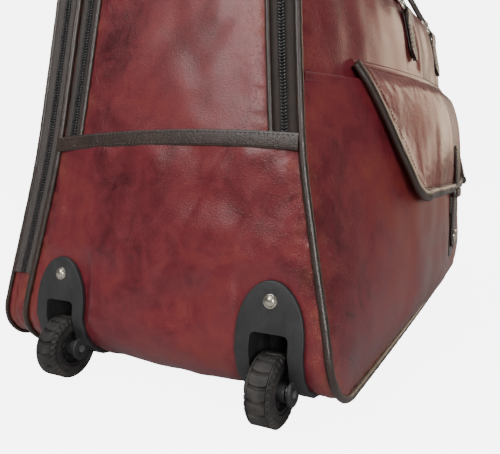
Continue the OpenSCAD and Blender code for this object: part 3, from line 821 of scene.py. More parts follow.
def end_relief(point, seam):
    """Puffed end panel with long drag folds, held flat under the housings and the bezel."""
    across, up = abs(abs(point.y) - WHEEL_Y), point.z
    held = 1 - (1 - ease(HOUSING_HALF, HOUSING_HALF + 0.010, across)) * (
        1 - ease(HOUSING_TOP, HOUSING_TOP + 0.020, up))
    if point.x > 0:
        past_bezel = ease(0.001, 0.020, abs(point.y) - BEZEL_HALF_WIDTH)
        held = 1 - (1 - past_bezel) * (1 - ease(0.001, 0.020, up - BEZEL_TOP))
    away = math.hypot(max(0, across - 0.02), max(0, up - HOUSING_TOP))
    near = math.exp(-max(0, away - 0.004) / 0.016)
    pull = 0.0009 * near * crumple(Vector((point.y, point.z * 0.6, 0)), 0.007, 6)
    drag = noise.noise(Vector((point.y / 0.050 + point.z / 0.075, point.z / 0.16 - point.y / 0.2,
                               point.x * 2 + 3.0)))
    fold = -0.0008 * math.exp(-(drag / 0.16) ** 2) * ease(0.008, 0.04, seam)
    return 0.0001 + held * (leather_relief(0.0030, 0.0009, 0.0020)(point, seam) + fold + pull)


def side_heights():
    """height(t) up a side, evenly spaced along its curve."""
    heights = np.linspace(UNDERSIDE, TOP, 400)
    depths = np.array([side_y(0, z) for z in heights])
    run = np.r_[0, np.cumsum(np.hypot(np.diff(heights), np.diff(depths)))]
    return lambda t: float(np.interp(t * run[-1], run, heights))


SIDE_HEIGHT = side_heights()


def side_sheet(name, sign, extra=0.0, inset=0.0, relief=None, columns=190, rows=120):
    """Long side of the bag from piping to piping."""

    def where(s, t):
        z = SIDE_HEIGHT(t)
        u = 2 * s - 1
        across = end_x(z) - inset - SEAM_HIDE
        height = min(max(z, UNDERSIDE + inset), TOP - inset)
        return u, z, across, height

    def place(s, t):
        u, z, across, height = where(s, t)
        return Vector((u * across, sign * (side_y(u, z) + extra), height))

    def seam(s, t):
        u, z, across, _ = where(s, t)
        return max(0, min((1 - abs(u)) * across, z - UNDERSIDE, 1.1 * (TOP - z) + 0.004))

    return drape(name, columns, rows, place, seam, relief or leather_relief(),
                 size=(2 * HALF_LENGTH, 0.35))


def clear_of(point, middle, half, low, high):
    """0 on a patch that is sewn down flat, at middle either side, and 1 away from it."""
    across = abs(abs(point.x) - middle) - half
    up = max(low - point.z, point.z - high)
    return 1 - (1 - ease(0, 0.012, across)) * (1 - ease(0, 0.012, up))


def tab_patches(point):
    """0 under the handle tabs."""
    return clear_of(point, HANDLE_TABS, 0.012, 0.260, 0.315)


def side_folds(point, seam):
    """Soft upright folds of a hanging side, held flat under the tabs and the strap."""
    base = leather_relief(0.0018)(point, seam)
    flute = noise.noise(Vector((point.x / 0.028, point.z / 0.16, 7.0)))
    free = tab_patches(point) * clear_of(point, 0, 0.015, 0.07, 0.19)
    return 0.0001 + free * (base + 0.0016 * flute * min(1, seam / 0.03))


def back_folds(point, seam):
    """Puff of the back, held flat under the handle tabs."""
    return 0.0001 + tab_patches(point) * leather_relief(0.0020)(point, seam)


def pocket_sheet():
    """Face of the big pocket, bulging from piping to piping."""
    low, high = UNDERSIDE + 0.001, POCKET_MOUTH

    def place(s, t):
        z = low + (high - low) * t + 0.0015 * math.sin(s * 9) * t
        x = (2 * s - 1) * (end_x(z) - SEAM_HIDE)
        return Vector((x, pocket_y(x, z), z))

    def seam(s, t):
        z = low + (high - low) * t
        return max(0, min((1 - abs(2 * s - 1)) * end_x(z), z - low))

    return drape("front_pocket_face", 190, 80, place, seam, side_folds,
                 size=(2 * HALF_LENGTH, high - low))


def make_leather():
    """Outer panels of the bag."""
    band = rim_at(ZIP_START - 0.008)
    corner = rim_under(BASE_X - 0.004)
    centre = PANEL + TAPE_WIDTH
    made = end_sheet("wheel_end_leather", -1, band, corner, SEAM_HIDE, 96, 84,
                     cut=in_wheel_well)
    finish_piece(made, "bag", "burgundy", "wheel_end_panel")
    made = end_sheet("handle_end_leather", 1, band, corner, SEAM_HIDE, 90, 70,
                     cut=in_tube_hole)
    finish_piece(made, "bag", "burgundy", "handle_end_panel")
    made = end_sheet("underside_leather", 1, corner, 2 * RIM_D[-1] - corner, 0.001, 60, 120)
    finish_piece(made, "bag", "burgundy", "bottom_panel")

    def place(s, t):
        middle, normal, width = rim(-band + 2 * band * t)
        return middle + Vector((0, (2 * s - 1) * (width - centre), 0)) - normal * 0.0002

    def seam(s, t):
        return max(0, (1 - abs(2 * s - 1)) * (rim(-band + 2 * band * t)[2] - centre))

    made = drape("centre_strip_leather", 50, 260, place, seam, leather_relief(0.0022),
                 size=(0.15, 2 * band))
    finish_piece(made, "bag", "burgundy", "wheel_end_gusset", "top_panel", "handle_end_gusset")
    made = side_sheet("front_side_leather", -1, relief=side_folds)
    finish_piece(made, "bag", "burgundy", "front_panel", "front_cover", blend=FRONT_FOLD)
    made = side_sheet("back_side_leather", 1, columns=110, rows=90)
    finish_piece(made, "bag", "burgundy", "back_panel")
    finish_piece(pocket_sheet(), "bag", "burgundy", "front_pocket")


# ---------------------------------------------------------------- piping and binding


PIPING_POINTS = 420


def side_rim(sign, count, extra, inset):
    """(point, outward) pairs round a long side, from the middle of the underside over the
    top and back to it."""
    total = RIM_D[-1]
    line = []
    for d in np.linspace(-total, total, count):
        middle, normal, width = rim(d)
        line.append((middle - normal * inset + Vector((0, sign * (width + extra), 0)), normal))
    return line


def closed_line(points):
    """line(t) round a closed run of (point, up) pairs."""
    count = len(points)
    places = np.array([p[:] for p, _ in points])
    ups = np.array([u[:] for _, u in points])

    def at(values, place):
        k = int(place) % count
        share = place - int(place)
        return Vector(values[k] * (1 - share) + values[(k + 1) % count] * share)

    def line(t):
        place = (t % 1.0) * count
        middle, up = at(places, place), at(ups, place)
        ahead = at(places, place + 0.5) - at(places, place - 0.5 + count)
        side = up.cross(ahead).normalized()
        return middle, side, ahead.cross(side).normalized()

    return line


def piping(name, sign, extra, inset=0.0, radius=None):
    """Leather cord sewn round a long side of the bag."""
    r = radius or sizes().piping / 2
    line = closed_line(side_rim(sign, PIPING_POINTS, extra, inset)[:-1])

    def section(angle, t):
        wave = 1 + 0.03 * math.sin(520 * t) + 0.03 * noise.noise(Vector((t * 300, sign, 0)))
        return r * wave * math.cos(angle), r * wave * math.sin(angle)

    return tube(name, 12, 2 * PIPING_POINTS, line, section, closed=True,
                size=(2 * math.pi * r, 1.9))


def open_rim(sign, reach, narrow, lift):
    """(point, up) pairs beside the centre strip, from one end over the top to the other."""
    line = []
    for d in np.linspace(-reach, reach, 300):
        middle, normal, width = rim(d)
        line.append((middle + normal * lift + Vector((0, sign * (width - narrow), 0)), normal))
    return line


def make_piping():
    """Corded edges."""
    made = piping("front_edge_piping", -1, extra=0.0002)
    finish_piece(made, "bag", "trim", "front_piping", "cover_piping", blend=FRONT_FOLD)
    finish_piece(piping("rear_edge_piping", 1, extra=0.0002), "bag", "trim", "rear_piping")
    made = piping("slim_edge_piping", 1, extra=SLIM_DEPTH - 0.001, inset=SLIM_INSET - 0.0005,
                  radius=0.0019)
    finish_piece(made, "bag", "trim", blend=SLIM_FOLD)
    start = rim_at(ZIP_START - 0.004)
    for sign, side in ((-1, "front"), (1, "rear")):
        line = through(open_rim(sign, start, PANEL + TAPE_WIDTH + 0.0002, 0.0002))
        made = tube(side + "_strip_piping", 10, 500, line,
                    lambda a, _: (0.0021 * math.cos(a), 0.0021 * math.sin(a)))
        finish_piece(made, "bag", "trim")
    line = through([(Vector((x, pocket_y(x, POCKET_MOUTH, 0.0005), POCKET_MOUTH + 0.001)),
                     FRONT_WAY)
                    for x in np.linspace(-end_x(POCKET_MOUTH) + 0.003,
                                         end_x(POCKET_MOUTH) - 0.003, 160)])
    finish_piece(tube("pocket_mouth_hem", 14, 300, line, oval(0.007, 0.0036, 0.8)),
                 "bag", "burgundy")


# ---------------------------------------------------------------- zips


def tape(name, sign, inner, outer, sink, low, high, extra=0.0):
    """Strip of woven zip tape between two distances from the bag's long edge."""

    def place(s, t):
        middle, normal, width = rim(low + (high - low) * t)
        across = width + extra - inner + (inner - outer) * s
        return middle - normal * sink + Vector((0, sign * across, 0))

    return drape(name, 6, 240, place, thickness=0.0008, size=(0.01, high - low))


TOOTH_SLANT = 0.42


def coil_row(name, sign, narrow, slant, low, high, lift, extra=0.0):
    """Row of zip teeth, each leaning along the zip."""
    pitch = sizes().coil_pitch
    count = int((high - low) / pitch)
    places = []
    for k in range(count):
        d = low + (high - low) * (k + 0.5) / count
        middle, normal, width = rim(d)
        ahead = (rim(d + 0.0005)[0] - rim(d - 0.0005)[0]).normalized()
        across = Vector((0, slant, 0)) + ahead * TOOTH_SLANT
        centre = middle + normal * lift + Vector((0, sign * (width + extra - narrow)
                                                  + slant * 0.0014, 0))
        places.append(frame_matrix(centre, across, normal))
    return repeat(name, bead(0.0038, 0.00155, 0.0019), places)


def make_zips():
    """Tapes and teeth of the two main zips and of the slim compartment's."""
    start = rim_at(ZIP_START - 0.006)
    middle = PANEL + TAPE_WIDTH / 2
    halves = ((PANEL + TAPE_WIDTH, middle), (middle, 0.001))
    for side, sign, name in (("front", -1, "front_zip"), ("rear", 1, "rear_zip")):
        for part, (inner, outer) in zip(("inner", "outer"), halves):
            made = tape(f"{name}_tape_{part}", sign, inner, outer, 0.0022, -start, start)
            row = coil_row(f"{name}_teeth_{part}", sign, middle,
                           -sign if part == "inner" else sign, -start, start, -0.0004)
            folds = FRONT_FOLD if side == "front" and part == "outer" else None
            finish_piece(made, "bag", "tape", f"{name}_tape", blend=folds)
            finish_piece(row, "bag", "coil", f"{name}_coil", blend=folds)
    low = rim_at(0.082)
    half = SLIM_DEPTH / 2
    for part, slant, inner, outer in (("inner", -1, SLIM_DEPTH - 0.003, half),
                                      ("outer", 1, half, 0.0012)):
        made = tape(f"slim_zip_tape_{part}", 1, inner, outer, 0.0010, -low, low, SLIM_DEPTH)
        row = coil_row(f"slim_zip_teeth_{part}", 1, half + 0.0002, slant, -low, low, -0.0002,
                       SLIM_DEPTH)
        folds = SLIM_FOLD if part == "outer" else None
        finish_piece(made, "bag", "tape", blend=folds)
        finish_piece(row, "bag", "coil", "slim_zip_coil", blend=folds)


def end_band(sign, name, node):
    """Folded band that covers the ends of the zips, arched a little over the end."""
    low_z, high_z = ZIP_START - 0.0125, ZIP_START - 0.001

    def line(t):
        side = 2 * t - 1
        z = (low_z + high_z) / 2 + 0.0045 * (1 - side * side) - 0.0015
        middle, normal, width = rim(sign * rim_at(z))
        ahead = rim(sign * (rim_at(z) + 0.001))[0] - rim(sign * (rim_at(z) - 0.001))[0]
        across = ahead.normalized() * sign
        centre = middle + normal * 0.0021 + Vector((0, side * (width - 0.0012), 0))
        return centre, across, normal

    def section(angle, _):
        c, s = math.cos(angle), math.sin(angle)
        lip = 0.0006 * abs(c) ** 3
        return (0.0059 * signed_power(c, 0.7),
                (0.0016 + lip) * signed_power(s, 0.6))

    made = tube(name, 24, 120, line, section, size=(0.03, 0.2))
    finish_piece(made, "bag", "trim", node)
    for row, offset in (("upper", -0.0040), ("lower", 0.0040)):
        points = []
        for t in np.linspace(0.01, 0.99, 60):
            centre, across, normal = line(t)
            points.append((centre + across * offset + normal * 0.0017, normal))
        stitches(f"{name}_{row}_stitches", points, "bag")


def make_bands():
    """Bands across both ends."""
    end_band(-1, "wheel_end_band_leather", "wheel_end_band")
    end_band(1, "handle_end_band_leather", "handle_end_band")


# ---------------------------------------------------------------- slim compartment


def slim_strip(name, inner, outer, low, high, blend=None):
    """Part of the slim compartment's edge, between two distances behind the bag."""

    def place(s, t):
        middle, normal, width = rim(low + (high - low) * t)
        return (middle - normal * (SLIM_INSET + 0.0003)
                + Vector((0, width + inner + (outer - inner) * s, 0)))

    def seam(s, t):
        return max(0, min(s, 1 - s) * (outer - inner))

    made = drape(name, 8, 420, place, seam, leather_relief(0.0010, 0.0005, 0.0004),
                 size=(outer - inner, high - low))
    return finish_piece(made, "bag", "burgundy", blend=blend)


def make_slim():
    """Slim document compartment across the back."""
    total = RIM_D[-1]
    half = SLIM_DEPTH / 2
    made = side_sheet("slim_back_leather", 1, extra=SLIM_DEPTH, inset=SLIM_INSET,
                      relief=back_folds, columns=170, rows=110)
    finish_piece(made, "bag", "burgundy", "slim_cover", blend=SLIM_FOLD)
    inner = slim_strip("slim_strip_inner", 0.0028, half - 0.0055, -total, total)
    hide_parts("slim_gusset")
    slim_strip("slim_strip_outer", half + 0.0055, SLIM_DEPTH - 0.0005, -total, total, SLIM_FOLD)
    low = rim_at(0.0815)
    slim_strip("slim_strip_base", half - 0.0056, half + 0.0056, low, 2 * total - low)
    for sign in (-1, 1):
        middle, normal, width = rim(sign * rim_at(0.080))
        points = [(middle - normal * 0.0012 + Vector((0, width + half + side * 0.0085, 0)), normal)
                  for side in np.linspace(-1, 1, 12)]
        stitches(f"slim_zip_stop_{'wheel' if sign < 0 else 'handle'}", points, "bag")


# ---------------------------------------------------------------- pocket flap and strap

FLAP_TOP, FLAP_LOW = 0.247, 0.146
FLAP_HALF, FLAP_LOW_HALF, FLAP_ROUND = 0.192, 0.118, 0.032
FLAP_TURN = math.radians(60.3)
FLAP_CORNER = 0.22
FLAP_CURL_HALF = 0.14
FLAP_LIFT = 0.0036
FLAP_FOLD = ("pocket_flap", (0, -0.143, 0.249), (0, -0.143, 0.240))


def flap_side(t):
    """Half width and height of the flap's edge, t of the way up from its lower edge."""
    if t < FLAP_CORNER:
        a = FLAP_TURN * t / FLAP_CORNER
        return (FLAP_LOW_HALF + FLAP_ROUND * math.sin(a),
                FLAP_LOW + FLAP_ROUND * (1 - math.cos(a)))
    x = FLAP_LOW_HALF + FLAP_ROUND * math.sin(FLAP_TURN)
    z = FLAP_LOW + FLAP_ROUND * (1 - math.cos(FLAP_TURN))
    k = (t - FLAP_CORNER) / (1 - FLAP_CORNER)
    return x + (FLAP_HALF - x) * k, z + (FLAP_TOP - z) * k


def flap_point(x, z, share):
    """Point on the flap's outer face; share is 1 at its side edges."""
    drop = 1 - ease(FLAP_LOW, FLAP_TOP, z)
    curl = 0.0075 * share ** 7 * (0.35 + 0.65 * drop)
    flute = (0.0030 * noise.noise(Vector((x / 0.036, z / 0.16, 5.0)))
             + 0.0004 * noise.noise(Vector((x / 0.012, z / 0.08, 9.0))))
    free = ease(0.012, 0.030, abs(x))
    return Vector((x, pocket_y(x, z, FLAP_LIFT + curl + flute * free * (0.35 + 0.65 * drop)), z))


def make_flap():
    """Flap over the pocket with its bound edge, and the strap that closes it."""

    def place(s, t):
        half, z = flap_side(t)
        return flap_point((2 * s - 1) * half, z, abs(2 * s - 1))

    def seam(s, t):
        half, z = flap_side(t)
        return max(0, min((1 - abs(2 * s - 1)) * half * 0.75, z - FLAP_LOW, FLAP_TOP - z))

    made = drape("pocket_flap_leather", 170, 60, place, seam,
                 leather_relief(0.0012, 0.0010, 0.0007), centre=Vector((0, 0.3, 0.2)),
                 size=(2 * FLAP_HALF, FLAP_TOP - FLAP_LOW))
    finish_piece(made, "bag", "burgundy", "pocket_flap", blend=FLAP_FOLD)

    edge, inboard = [], []
    for sign in (-1, 1):
        stretch = np.linspace(1, 0, 60) if sign < 0 else np.linspace(0, 1, 60)
        for t in stretch:
            half, z = flap_side(t)
            edge.append((flap_point(sign * half, z, 1), FRONT_WAY))
            inner = flap_point(sign * (half - 0.0088), z + 0.0055 * (1 - t) + 0.001, 0.95)
            inboard.append((inner + Vector((0, -0.0011, 0)), FRONT_WAY))
        if sign < 0:
            for x in np.linspace(-FLAP_LOW_HALF, FLAP_LOW_HALF, 90)[1:-1]:
                edge.append((flap_point(x, FLAP_LOW, abs(x) / FLAP_CURL_HALF), FRONT_WAY))
                inner = flap_point(x, FLAP_LOW + 0.0065, abs(x) / FLAP_CURL_HALF)
                inboard.append((inner + Vector((0, -0.0011, 0)), FRONT_WAY))
    made = tube("flap_binding", 14, 520, through(edge), oval(0.0092, 0.0058, 0.9))
    finish_piece(made, "bag", "trim", blend=FLAP_FOLD)
    stitches("flap_edge_stitches", inboard, "pocket_flap", 0.0004)

    def hem(x, z):
        return pocket_y(x, z, 0.0008) - 0.0014

    line = through([(Vector((x, hem(x, FLAP_TOP), FLAP_TOP)), FRONT_WAY)
                    for x in np.linspace(-FLAP_HALF, FLAP_HALF, 120)])
    made = tube("flap_seam_fold", 12, 260, line, oval(0.0066, 0.0052, 0.9))
    finish_piece(made, "bag", "burgundy")


STRAP_OFF = [(0.084, 0.0030), (0.132, 0.0030), (0.144, 0.0044), (0.152, 0.0056), (0.186, 0.0056)]


def strap_line(low, high, offset):
    """(point, outward) pairs down the middle of the pocket, off it by a table of heights."""
    return [(Vector((0, pocket_y(0, z, smooth(offset, z)), z)), FRONT_WAY)
            for z in np.linspace(high, low, 60)]


def leather_strap(name, body, points, width, thick, tip_share, node):
    """Strap in place of a node, with a stitched edge and a lower end that is round over
    tip_share of its length."""

    def section(angle, t):
        tip = math.sqrt(max(0.0004, 1 - max(0, (t - 1 + tip_share) / tip_share) ** 2))
        c, s = math.cos(angle), math.sin(angle)
        return (width / 2 * tip * signed_power(c, 0.45),
                thick / 2 * signed_power(s, 0.6) * (1 - 0.25 * abs(c) ** 6))

    made = tube(name, 28, 90, through(points), section, size=(2 * width, 0.1))
    finish_piece(made, body, "trim", node)
    for label, sign in (("left", -1), ("right", 1)):
        row = [(p + Vector((sign * (width / 2 - 0.0026), -thick / 2 + 0.0001, 0)), up)
               for p, up in points[1:-7]]
        stitches(f"{name}_{label}_stitches", row, body, 0.0001)


def make_closure():
    """Closure strap over the flap, its tab, loop and snap."""
    leather_strap("closure_strap_leather", "pocket_flap", strap_line(0.084, 0.187, STRAP_OFF),
                  0.025, 0.0024, 0.12, "closure_strap")
    leather_strap("strap_tab_leather", "bag",
                  strap_line(0.074, 0.118, [(0.07, 0.0008), (0.12, 0.0008)]), 0.029, 0.0016,
                  0.2, "strap_tab")
    loop = closed_line([
        (Vector((0.0152 * signed_power(math.cos(a), 0.3),
                 pocket_y(0, 0.140, 0.0046) + 0.0030 * math.sin(a), 0.140)), Vector((0, 0, 1)))
        for a in np.linspace(0, 2 * math.pi, 48, endpoint=False)])
    made = tube("closure_loop", 10, 120, loop, oval(0.0014, 0.008, 0.6), closed=True)
    finish_piece(made, "pocket_flap", "trim")
    finish_piece(from_node("snap_cap", 0.0005), "pocket_flap", "nickel", "snap_cap")


# ---------------------------------------------------------------- carry handles

BAR_Y, BAR_Z = 0.130915, 0.308
HANDLE_TABS = 0.063
ARCH_FOOT, ARCH_RISE = 0.0365, 0.050
RING_WIRE = 0.0034
HANDLE_LEAN = math.radians(30)
TAB_LEAN = math.radians(12.5)


def handle_place(sign):
    """Matrix from a handle's own place, at its bar, to the front or back of the bag."""
    if sign < 0:
        return Matrix.Translation((0, -BAR_Y, BAR_Z))
    return Matrix.Translation((0, BAR_Y + SLIM_DEPTH, BAR_Z)) @ Matrix.Rotation(math.pi, 4, "Z")


def carried(line, matrix):
    """The same line(t) taken to another place."""

    def moved(t):
        middle, side, up = line(t)
        turn = matrix.to_3x3()
        return matrix @ middle, turn @ side, turn @ up

    return moved


def handle_tab(side, x, matrix, cover):
    """Folded leather tab that holds a ring, its folds in millimetres from the ring's bar."""
    layers = [(1.5, -44.5), (1.5, -30), (1.6, -8), (2.0, 0), (1.7, 1.9), (0, 2.7), (-1.8, 1.9),
              (-2.6, 0), (-2.3, -6), (-0.9, -13), (-0.4, -30), (-0.4, -45.5)]
    points = [Vector((x, y / 1000, z / 1000)) for y, z in layers]
    path = []
    for k, point in enumerate(points):
        ahead = points[min(k + 1, len(points) - 1)] - points[max(k - 1, 0)]
        path.append((point, Vector((1, 0, 0)).cross(ahead).normalized()))

    def section(angle, t):
        tip = ease(0, 0.09, t) * ease(0, 0.09, 1 - t)
        c, s = math.cos(angle), math.sin(angle)
        return (0.011 * (0.28 + 0.72 * tip) * signed_power(c, 0.4),
                0.0009 * signed_power(s, 0.6))

    lean = matrix @ Matrix.Rotation(-TAB_LEAN, 4, "X")
    made = tube(f"{side}_handle_tab_{'a' if x < 0 else 'b'}", 24, 120,
                carried(through(path), lean), section)
    outward = lean.to_3x3() @ FRONT_WAY
    for k, edge in enumerate((-0.0082, 0.0082)):
        row = [(lean @ Vector((x + edge, y / 1000 - 0.0010, z / 1000)), outward)
               for y, z in ((-0.9, -13), (-0.5, -24), (-0.4, -36))]
        stitches(f"{made.name}_stitches_{k}", row, cover, 0)
    return made


def rolled(t):
    """How far a handle's strap is rolled round, t of the way along it: not at all at its ends."""
    return ease(0.16, 0.3, t) * ease(0.16, 0.3, 1 - t)


def ring_outline(x):
    """(point, up) pairs round a ring, a rounded rectangle that stands on its bar."""
    outline = []
    for a in np.linspace(0, 2 * math.pi, 72, endpoint=False):
        c, s = math.cos(a), math.sin(a)
        outline.append((Vector((x + 0.0138 * signed_power(c, 0.35), 0,
                                0.008 + 0.008 * signed_power(s, 0.35))), Vector((0, 1, 0))))
    return outline


def handle_arch():
    """(point, up) pairs along a handle's strap, up from one ring and down to the other."""
    feet = (0.0165, 0.022, 0.028)
    arch = [(-HANDLE_TABS, z) for z in feet]
    arch += [(HANDLE_TABS * math.cos(a), ARCH_FOOT + ARCH_RISE * math.sin(a))
             for a in np.linspace(math.pi, 0, 60)]
    arch += [(HANDLE_TABS, z) for z in reversed(feet)]
    return [(Vector((x, 0, z)), Vector((0, 1, 0))) for x, z in arch]


def strap_section(angle, t):
    """Section of a handle's strap: flat at its ends and round where it is rolled."""
    roll = rolled(t)
    power = 0.5 + 0.5 * roll
    wide, thick = 0.0100 - 0.0012 * roll, 0.0026 + 0.0044 * roll
    return wide * signed_power(math.cos(angle), power), thick * signed_power(math.sin(angle), power)


def strap_ends(lean):
    """Rolls of leather where a handle's strap turns round its rings."""
    rolls = []
    for x in (-HANDLE_TABS, HANDLE_TABS):
        clear_selection()
        bpy.ops.mesh.primitive_cylinder_add(vertices=28, radius=0.0034, depth=0.0196,
                                            rotation=(0, math.pi / 2, 0))
        roll = started("roll")
        roll.data.transform(lean @ Matrix.Translation((x, 0, 0.016)))
        rolls.append(roll)
    return rolls


def make_handle(sign):
    """One carry handle with its rings and tabs."""
    side = "front" if sign < 0 else "back"
    body = side + "_carry_handle"
    cover = "front_cover" if sign < 0 else "slim_cover"
    matrix = handle_place(sign)
    tabs = [handle_tab(side, x, matrix, cover) for x in (-HANDLE_TABS, HANDLE_TABS)]
    finish_piece(joined(side + "_handle_tabs_leather", tabs), cover, "trim",
                 side + "_handle_tabs")
    lean = matrix @ Matrix.Rotation(-HANDLE_LEAN, 4, "X")
    rings = [tube(f"{side}_ring_{k}", 12, 144, carried(closed_line(ring_outline(x)), lean),
                  oval(RING_WIRE, RING_WIRE), closed=True)
             for k, x in enumerate((-HANDLE_TABS, HANDLE_TABS))]
    finish_piece(joined(side + "_handle_rings_metal", rings), body, "nickel",
                 side + "_handle_rings")
    made = tube(side + "_handle_leather", 28, 260, carried(through(handle_arch()), lean),
                strap_section)
    made = joined(side + "_handle_leather", [made] + strap_ends(lean))
    finish_piece(made, body, "trim", side + "_handle")
    outward = lean.to_3x3() @ FRONT_WAY
    for edge in (-1, 1):
        radius_x, radius_z = HANDLE_TABS + edge * 0.0074, ARCH_RISE + edge * 0.0074
        row = []
        for t in np.arange(61) / 60:
            a = math.pi * (1 - t)
            row.append((lean @ Vector((radius_x * math.cos(a), -0.0024 - 0.0022 * rolled(t),
                                       ARCH_FOOT + radius_z * math.sin(a))), outward))
        stitches(f"{side}_handle_stitches_{'in' if edge < 0 else 'out'}", row, body)


def make_handles():
    """Both carry handles."""
    make_handle(-1)
    make_handle(1)


# ---------------------------------------------------------------- wheels


def lathe(name, profile, matrix, segments=96, shape=None):
    """Solid of revolution about local Z through (radius, height) points; shape(radius,
    height, angle) may change the radius."""
    profile = profile + profile[:1] if profile[0][0] > 1e-6 else profile

    def place(s, t):
        k = min(int(round(t * (len(profile) - 1))), len(profile) - 1)
        radius, height = profile[k]
        angle = 2 * math.pi * s
        if shape:
            radius = shape(radius, height, angle)
        return matrix @ Vector((radius * math.cos(angle), radius * math.sin(angle), height))

    piece, _, points = laid_grid(name, segments, len(profile) - 1, place)
    store(piece, "rest", points, "FLOAT_VECTOR")
    store(piece, "seam", [1] * len(points))
    edit(piece, lambda: bpy.ops.mesh.remove_doubles(threshold=1e-6),
         lambda: bpy.ops.mesh.normals_make_consistent(inside=False))
    round_off(piece, 38)
    return piece


SIDEWALL_RADIUS, TREAD_HALF, RIB_EDGE = 0.0205, 0.0066, 0.0080


def groove(count, radius, angle, shift):
    """Distance round the tyre to the nearest of count grooves."""
    turn = (angle * count / (2 * math.pi) + shift) % 1
    return min(turn, 1 - turn) * 2 * math.pi * radius / count


def tyre_radius(radius, height, angle):
    """Tread of curved blocks between two raised ribs, with lugs on the shoulders."""
    across = abs(height)
    if radius < SIDEWALL_RADIUS:
        return radius
    if across < TREAD_HALF:
        curve = 0.168 * (height / TREAD_HALF) ** 2
        return radius - 0.0019 * (1 - ease(0.0005, 0.0015, groove(16, radius, angle, curve)))
    if across < RIB_EDGE:
        return radius
    return radius - 0.0014 * (1 - ease(0.0005, 0.0012, groove(32, radius, angle, 0)))


def make_wheels():
    """Tyres and hubs."""
    outer = [(0.0210, -0.0099), (0.0222, -0.0098), (0.0232, -0.0094), (0.0239, -0.0088),
             (0.0243, -0.0083), (0.0247, -0.0080), (0.0250, -0.0078), (0.0250, -0.0071),
             (0.0247, -0.0068), (0.0240, -0.0067)]
    tread = [(0.0249, h / 1000) for h in np.linspace(-6.4, 6.4, 15)]
    tread = [(0.0246, -0.0065)] + tread + [(0.0246, 0.0065)]
    profile = ([(0.0150, -0.0090), (0.0155, -0.0099), (0.0185, -0.0097), (0.0192, -0.0093),
                (0.0202, -0.0098)] + outer + tread
               + [(r, -h) for r, h in reversed(outer)]
               + [(0.0202, 0.0098), (0.0192, 0.0093), (0.0185, 0.0097), (0.0155, 0.0099),
                  (0.0150, 0.0090)])
    hub = [(0.0031, -0.0118), (0.0066, -0.0118), (0.0070, -0.0112), (0.0070, -0.0040),
           (0.0078, -0.0032), (0.0118, -0.0032), (0.0124, -0.0040), (0.0126, -0.0084),
           (0.0131, -0.0090), (0.0147, -0.0090), (0.0150, -0.0086)]
    hub = hub + [(r, -h) for r, h in reversed(hub)]
    for side in ("front", "rear"):
        low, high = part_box(side + "_wheel_hub")
        centre = (low + high) / 2
        matrix = Matrix.Translation(centre) @ Matrix.Rotation(math.pi / 2, 4, "X")
        tyre = lathe(side + "_tyre_rubber", profile, matrix, 512, tyre_radius)
        finish_piece(tyre, side + "_wheel", "rubber", side + "_wheel_tyre")
        body = lathe(side + "_hub_body", hub, matrix, 72)
        clear_selection()
        bpy.ops.mesh.primitive_cube_add(size=1)
        unit = started("spoke")
        edit(unit, lambda: bpy.ops.transform.resize(value=(0.0058, 0.0016, 0.0030)))
        places = [matrix @ Matrix.Rotation(k * math.pi / 4, 4, "Z")
                  @ Matrix.Translation((0.0096, 0, face * 0.0040))
                  for k in range(8) for face in (-1, 1)]
        spokes = repeat("spokes", unit, places)
        finish_piece(joined(side + "_hub_plastic", [body, spokes]), side + "_wheel",
                     "moulded", side + "_wheel_hub")


RIVET_Y, RIVET_Z = 0.094, 0.086


def make_housings():
    """Wheel housings and their rivets, whose profile is in millimetres."""
    for side in ("front", "rear"):
        node = side + "_wheel_housing"
        finish_piece(from_node(node, 0.0011, 3, 40), "bag", "housing", node)
    dome = [(0, -4.2), (4, -4.2), (4, -3.2), (2, -3.2), (2, 3.4), (4.9, 3.4), (5.1, 3.8),
            (4.8, 4.3), (4.2, 4.45), (3.9, 4.4), (3.7, 4.9), (2.9, 5.6), (1.6, 6.0), (0, 6.1)]
    made = []
    x = -HALF_LENGTH + END_LEAN * (RIVET_Z - CORNER_Z)
    for sign in (-1, 1):
        matrix = (Matrix.Translation((x, sign * RIVET_Y, RIVET_Z))
                  @ Matrix.Rotation(-math.pi / 2 + math.atan(END_LEAN), 4, "Y"))
        made.append(lathe("rivet", [(r / 1000, h / 1000) for r, h in dome], matrix, 40))
    finish_piece(joined("housing_rivet_domes", made), "bag", "nickel", "housing_rivets")


def make_fittings():
    """Telescopic handle, feet, zip sliders and the parts that keep their plain shape."""
    zip_parts = [f"{place}_zip_{part}" for place in ("front", "rear", "slim")
                 for part in ("slider", "pull")]
    for node, body, finish, bevel in (
            ("grip", "inner_stage", "moulded", 0.0016),
            ("release_button", "release_button", "housing", 0.0006),
            ("tube_collars", "middle_stage", "moulded", 0.0004),
            ("handle_bezel", "bag", "moulded", 0.0009),
            ("tube_saddles", "bag", "moulded", 0.0010),
            ("skid_feet", "bag", "moulded", 0.0012),
            ("foot_screws", "bag", "nickel", 0.0003),
            *[(part, part, "nickel", 0.0005) for part in zip_parts]):
        finish_piece(from_node(node, bevel), body, finish, node)
    for node, finish in (("lining", "lining"), ("base_board", "board"),
                         ("wheel_axles", "steel"), ("wheel_washers", "steel"),
                         ("fixed_tubes", "alloy"), ("middle_tubes", "alloy"),
                         ("inner_tubes", "alloy"), ("snap_stud", "nickel")):
        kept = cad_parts[node].data.materials
        kept.clear()
        kept.append(material(finish))


# ---------------------------------------------------------------- stage


def area_light(name, place, aim, size, energy, tint=(1, 1, 1)):
    """Soft light aimed at a point."""
    clear_selection()
    bpy.ops.object.light_add(type="AREA", location=place)
    lamp = bpy.context.object
    lamp.name = name
    lamp.data.shape = "RECTANGLE"
    lamp.data.size, lamp.data.size_y = size
    lamp.data.energy = energy
    lamp.data.color = tint
    lamp.rotation_euler = (Vector(aim) - Vector(place)).to_track_quat("-Z", "Y").to_euler()
    return lamp


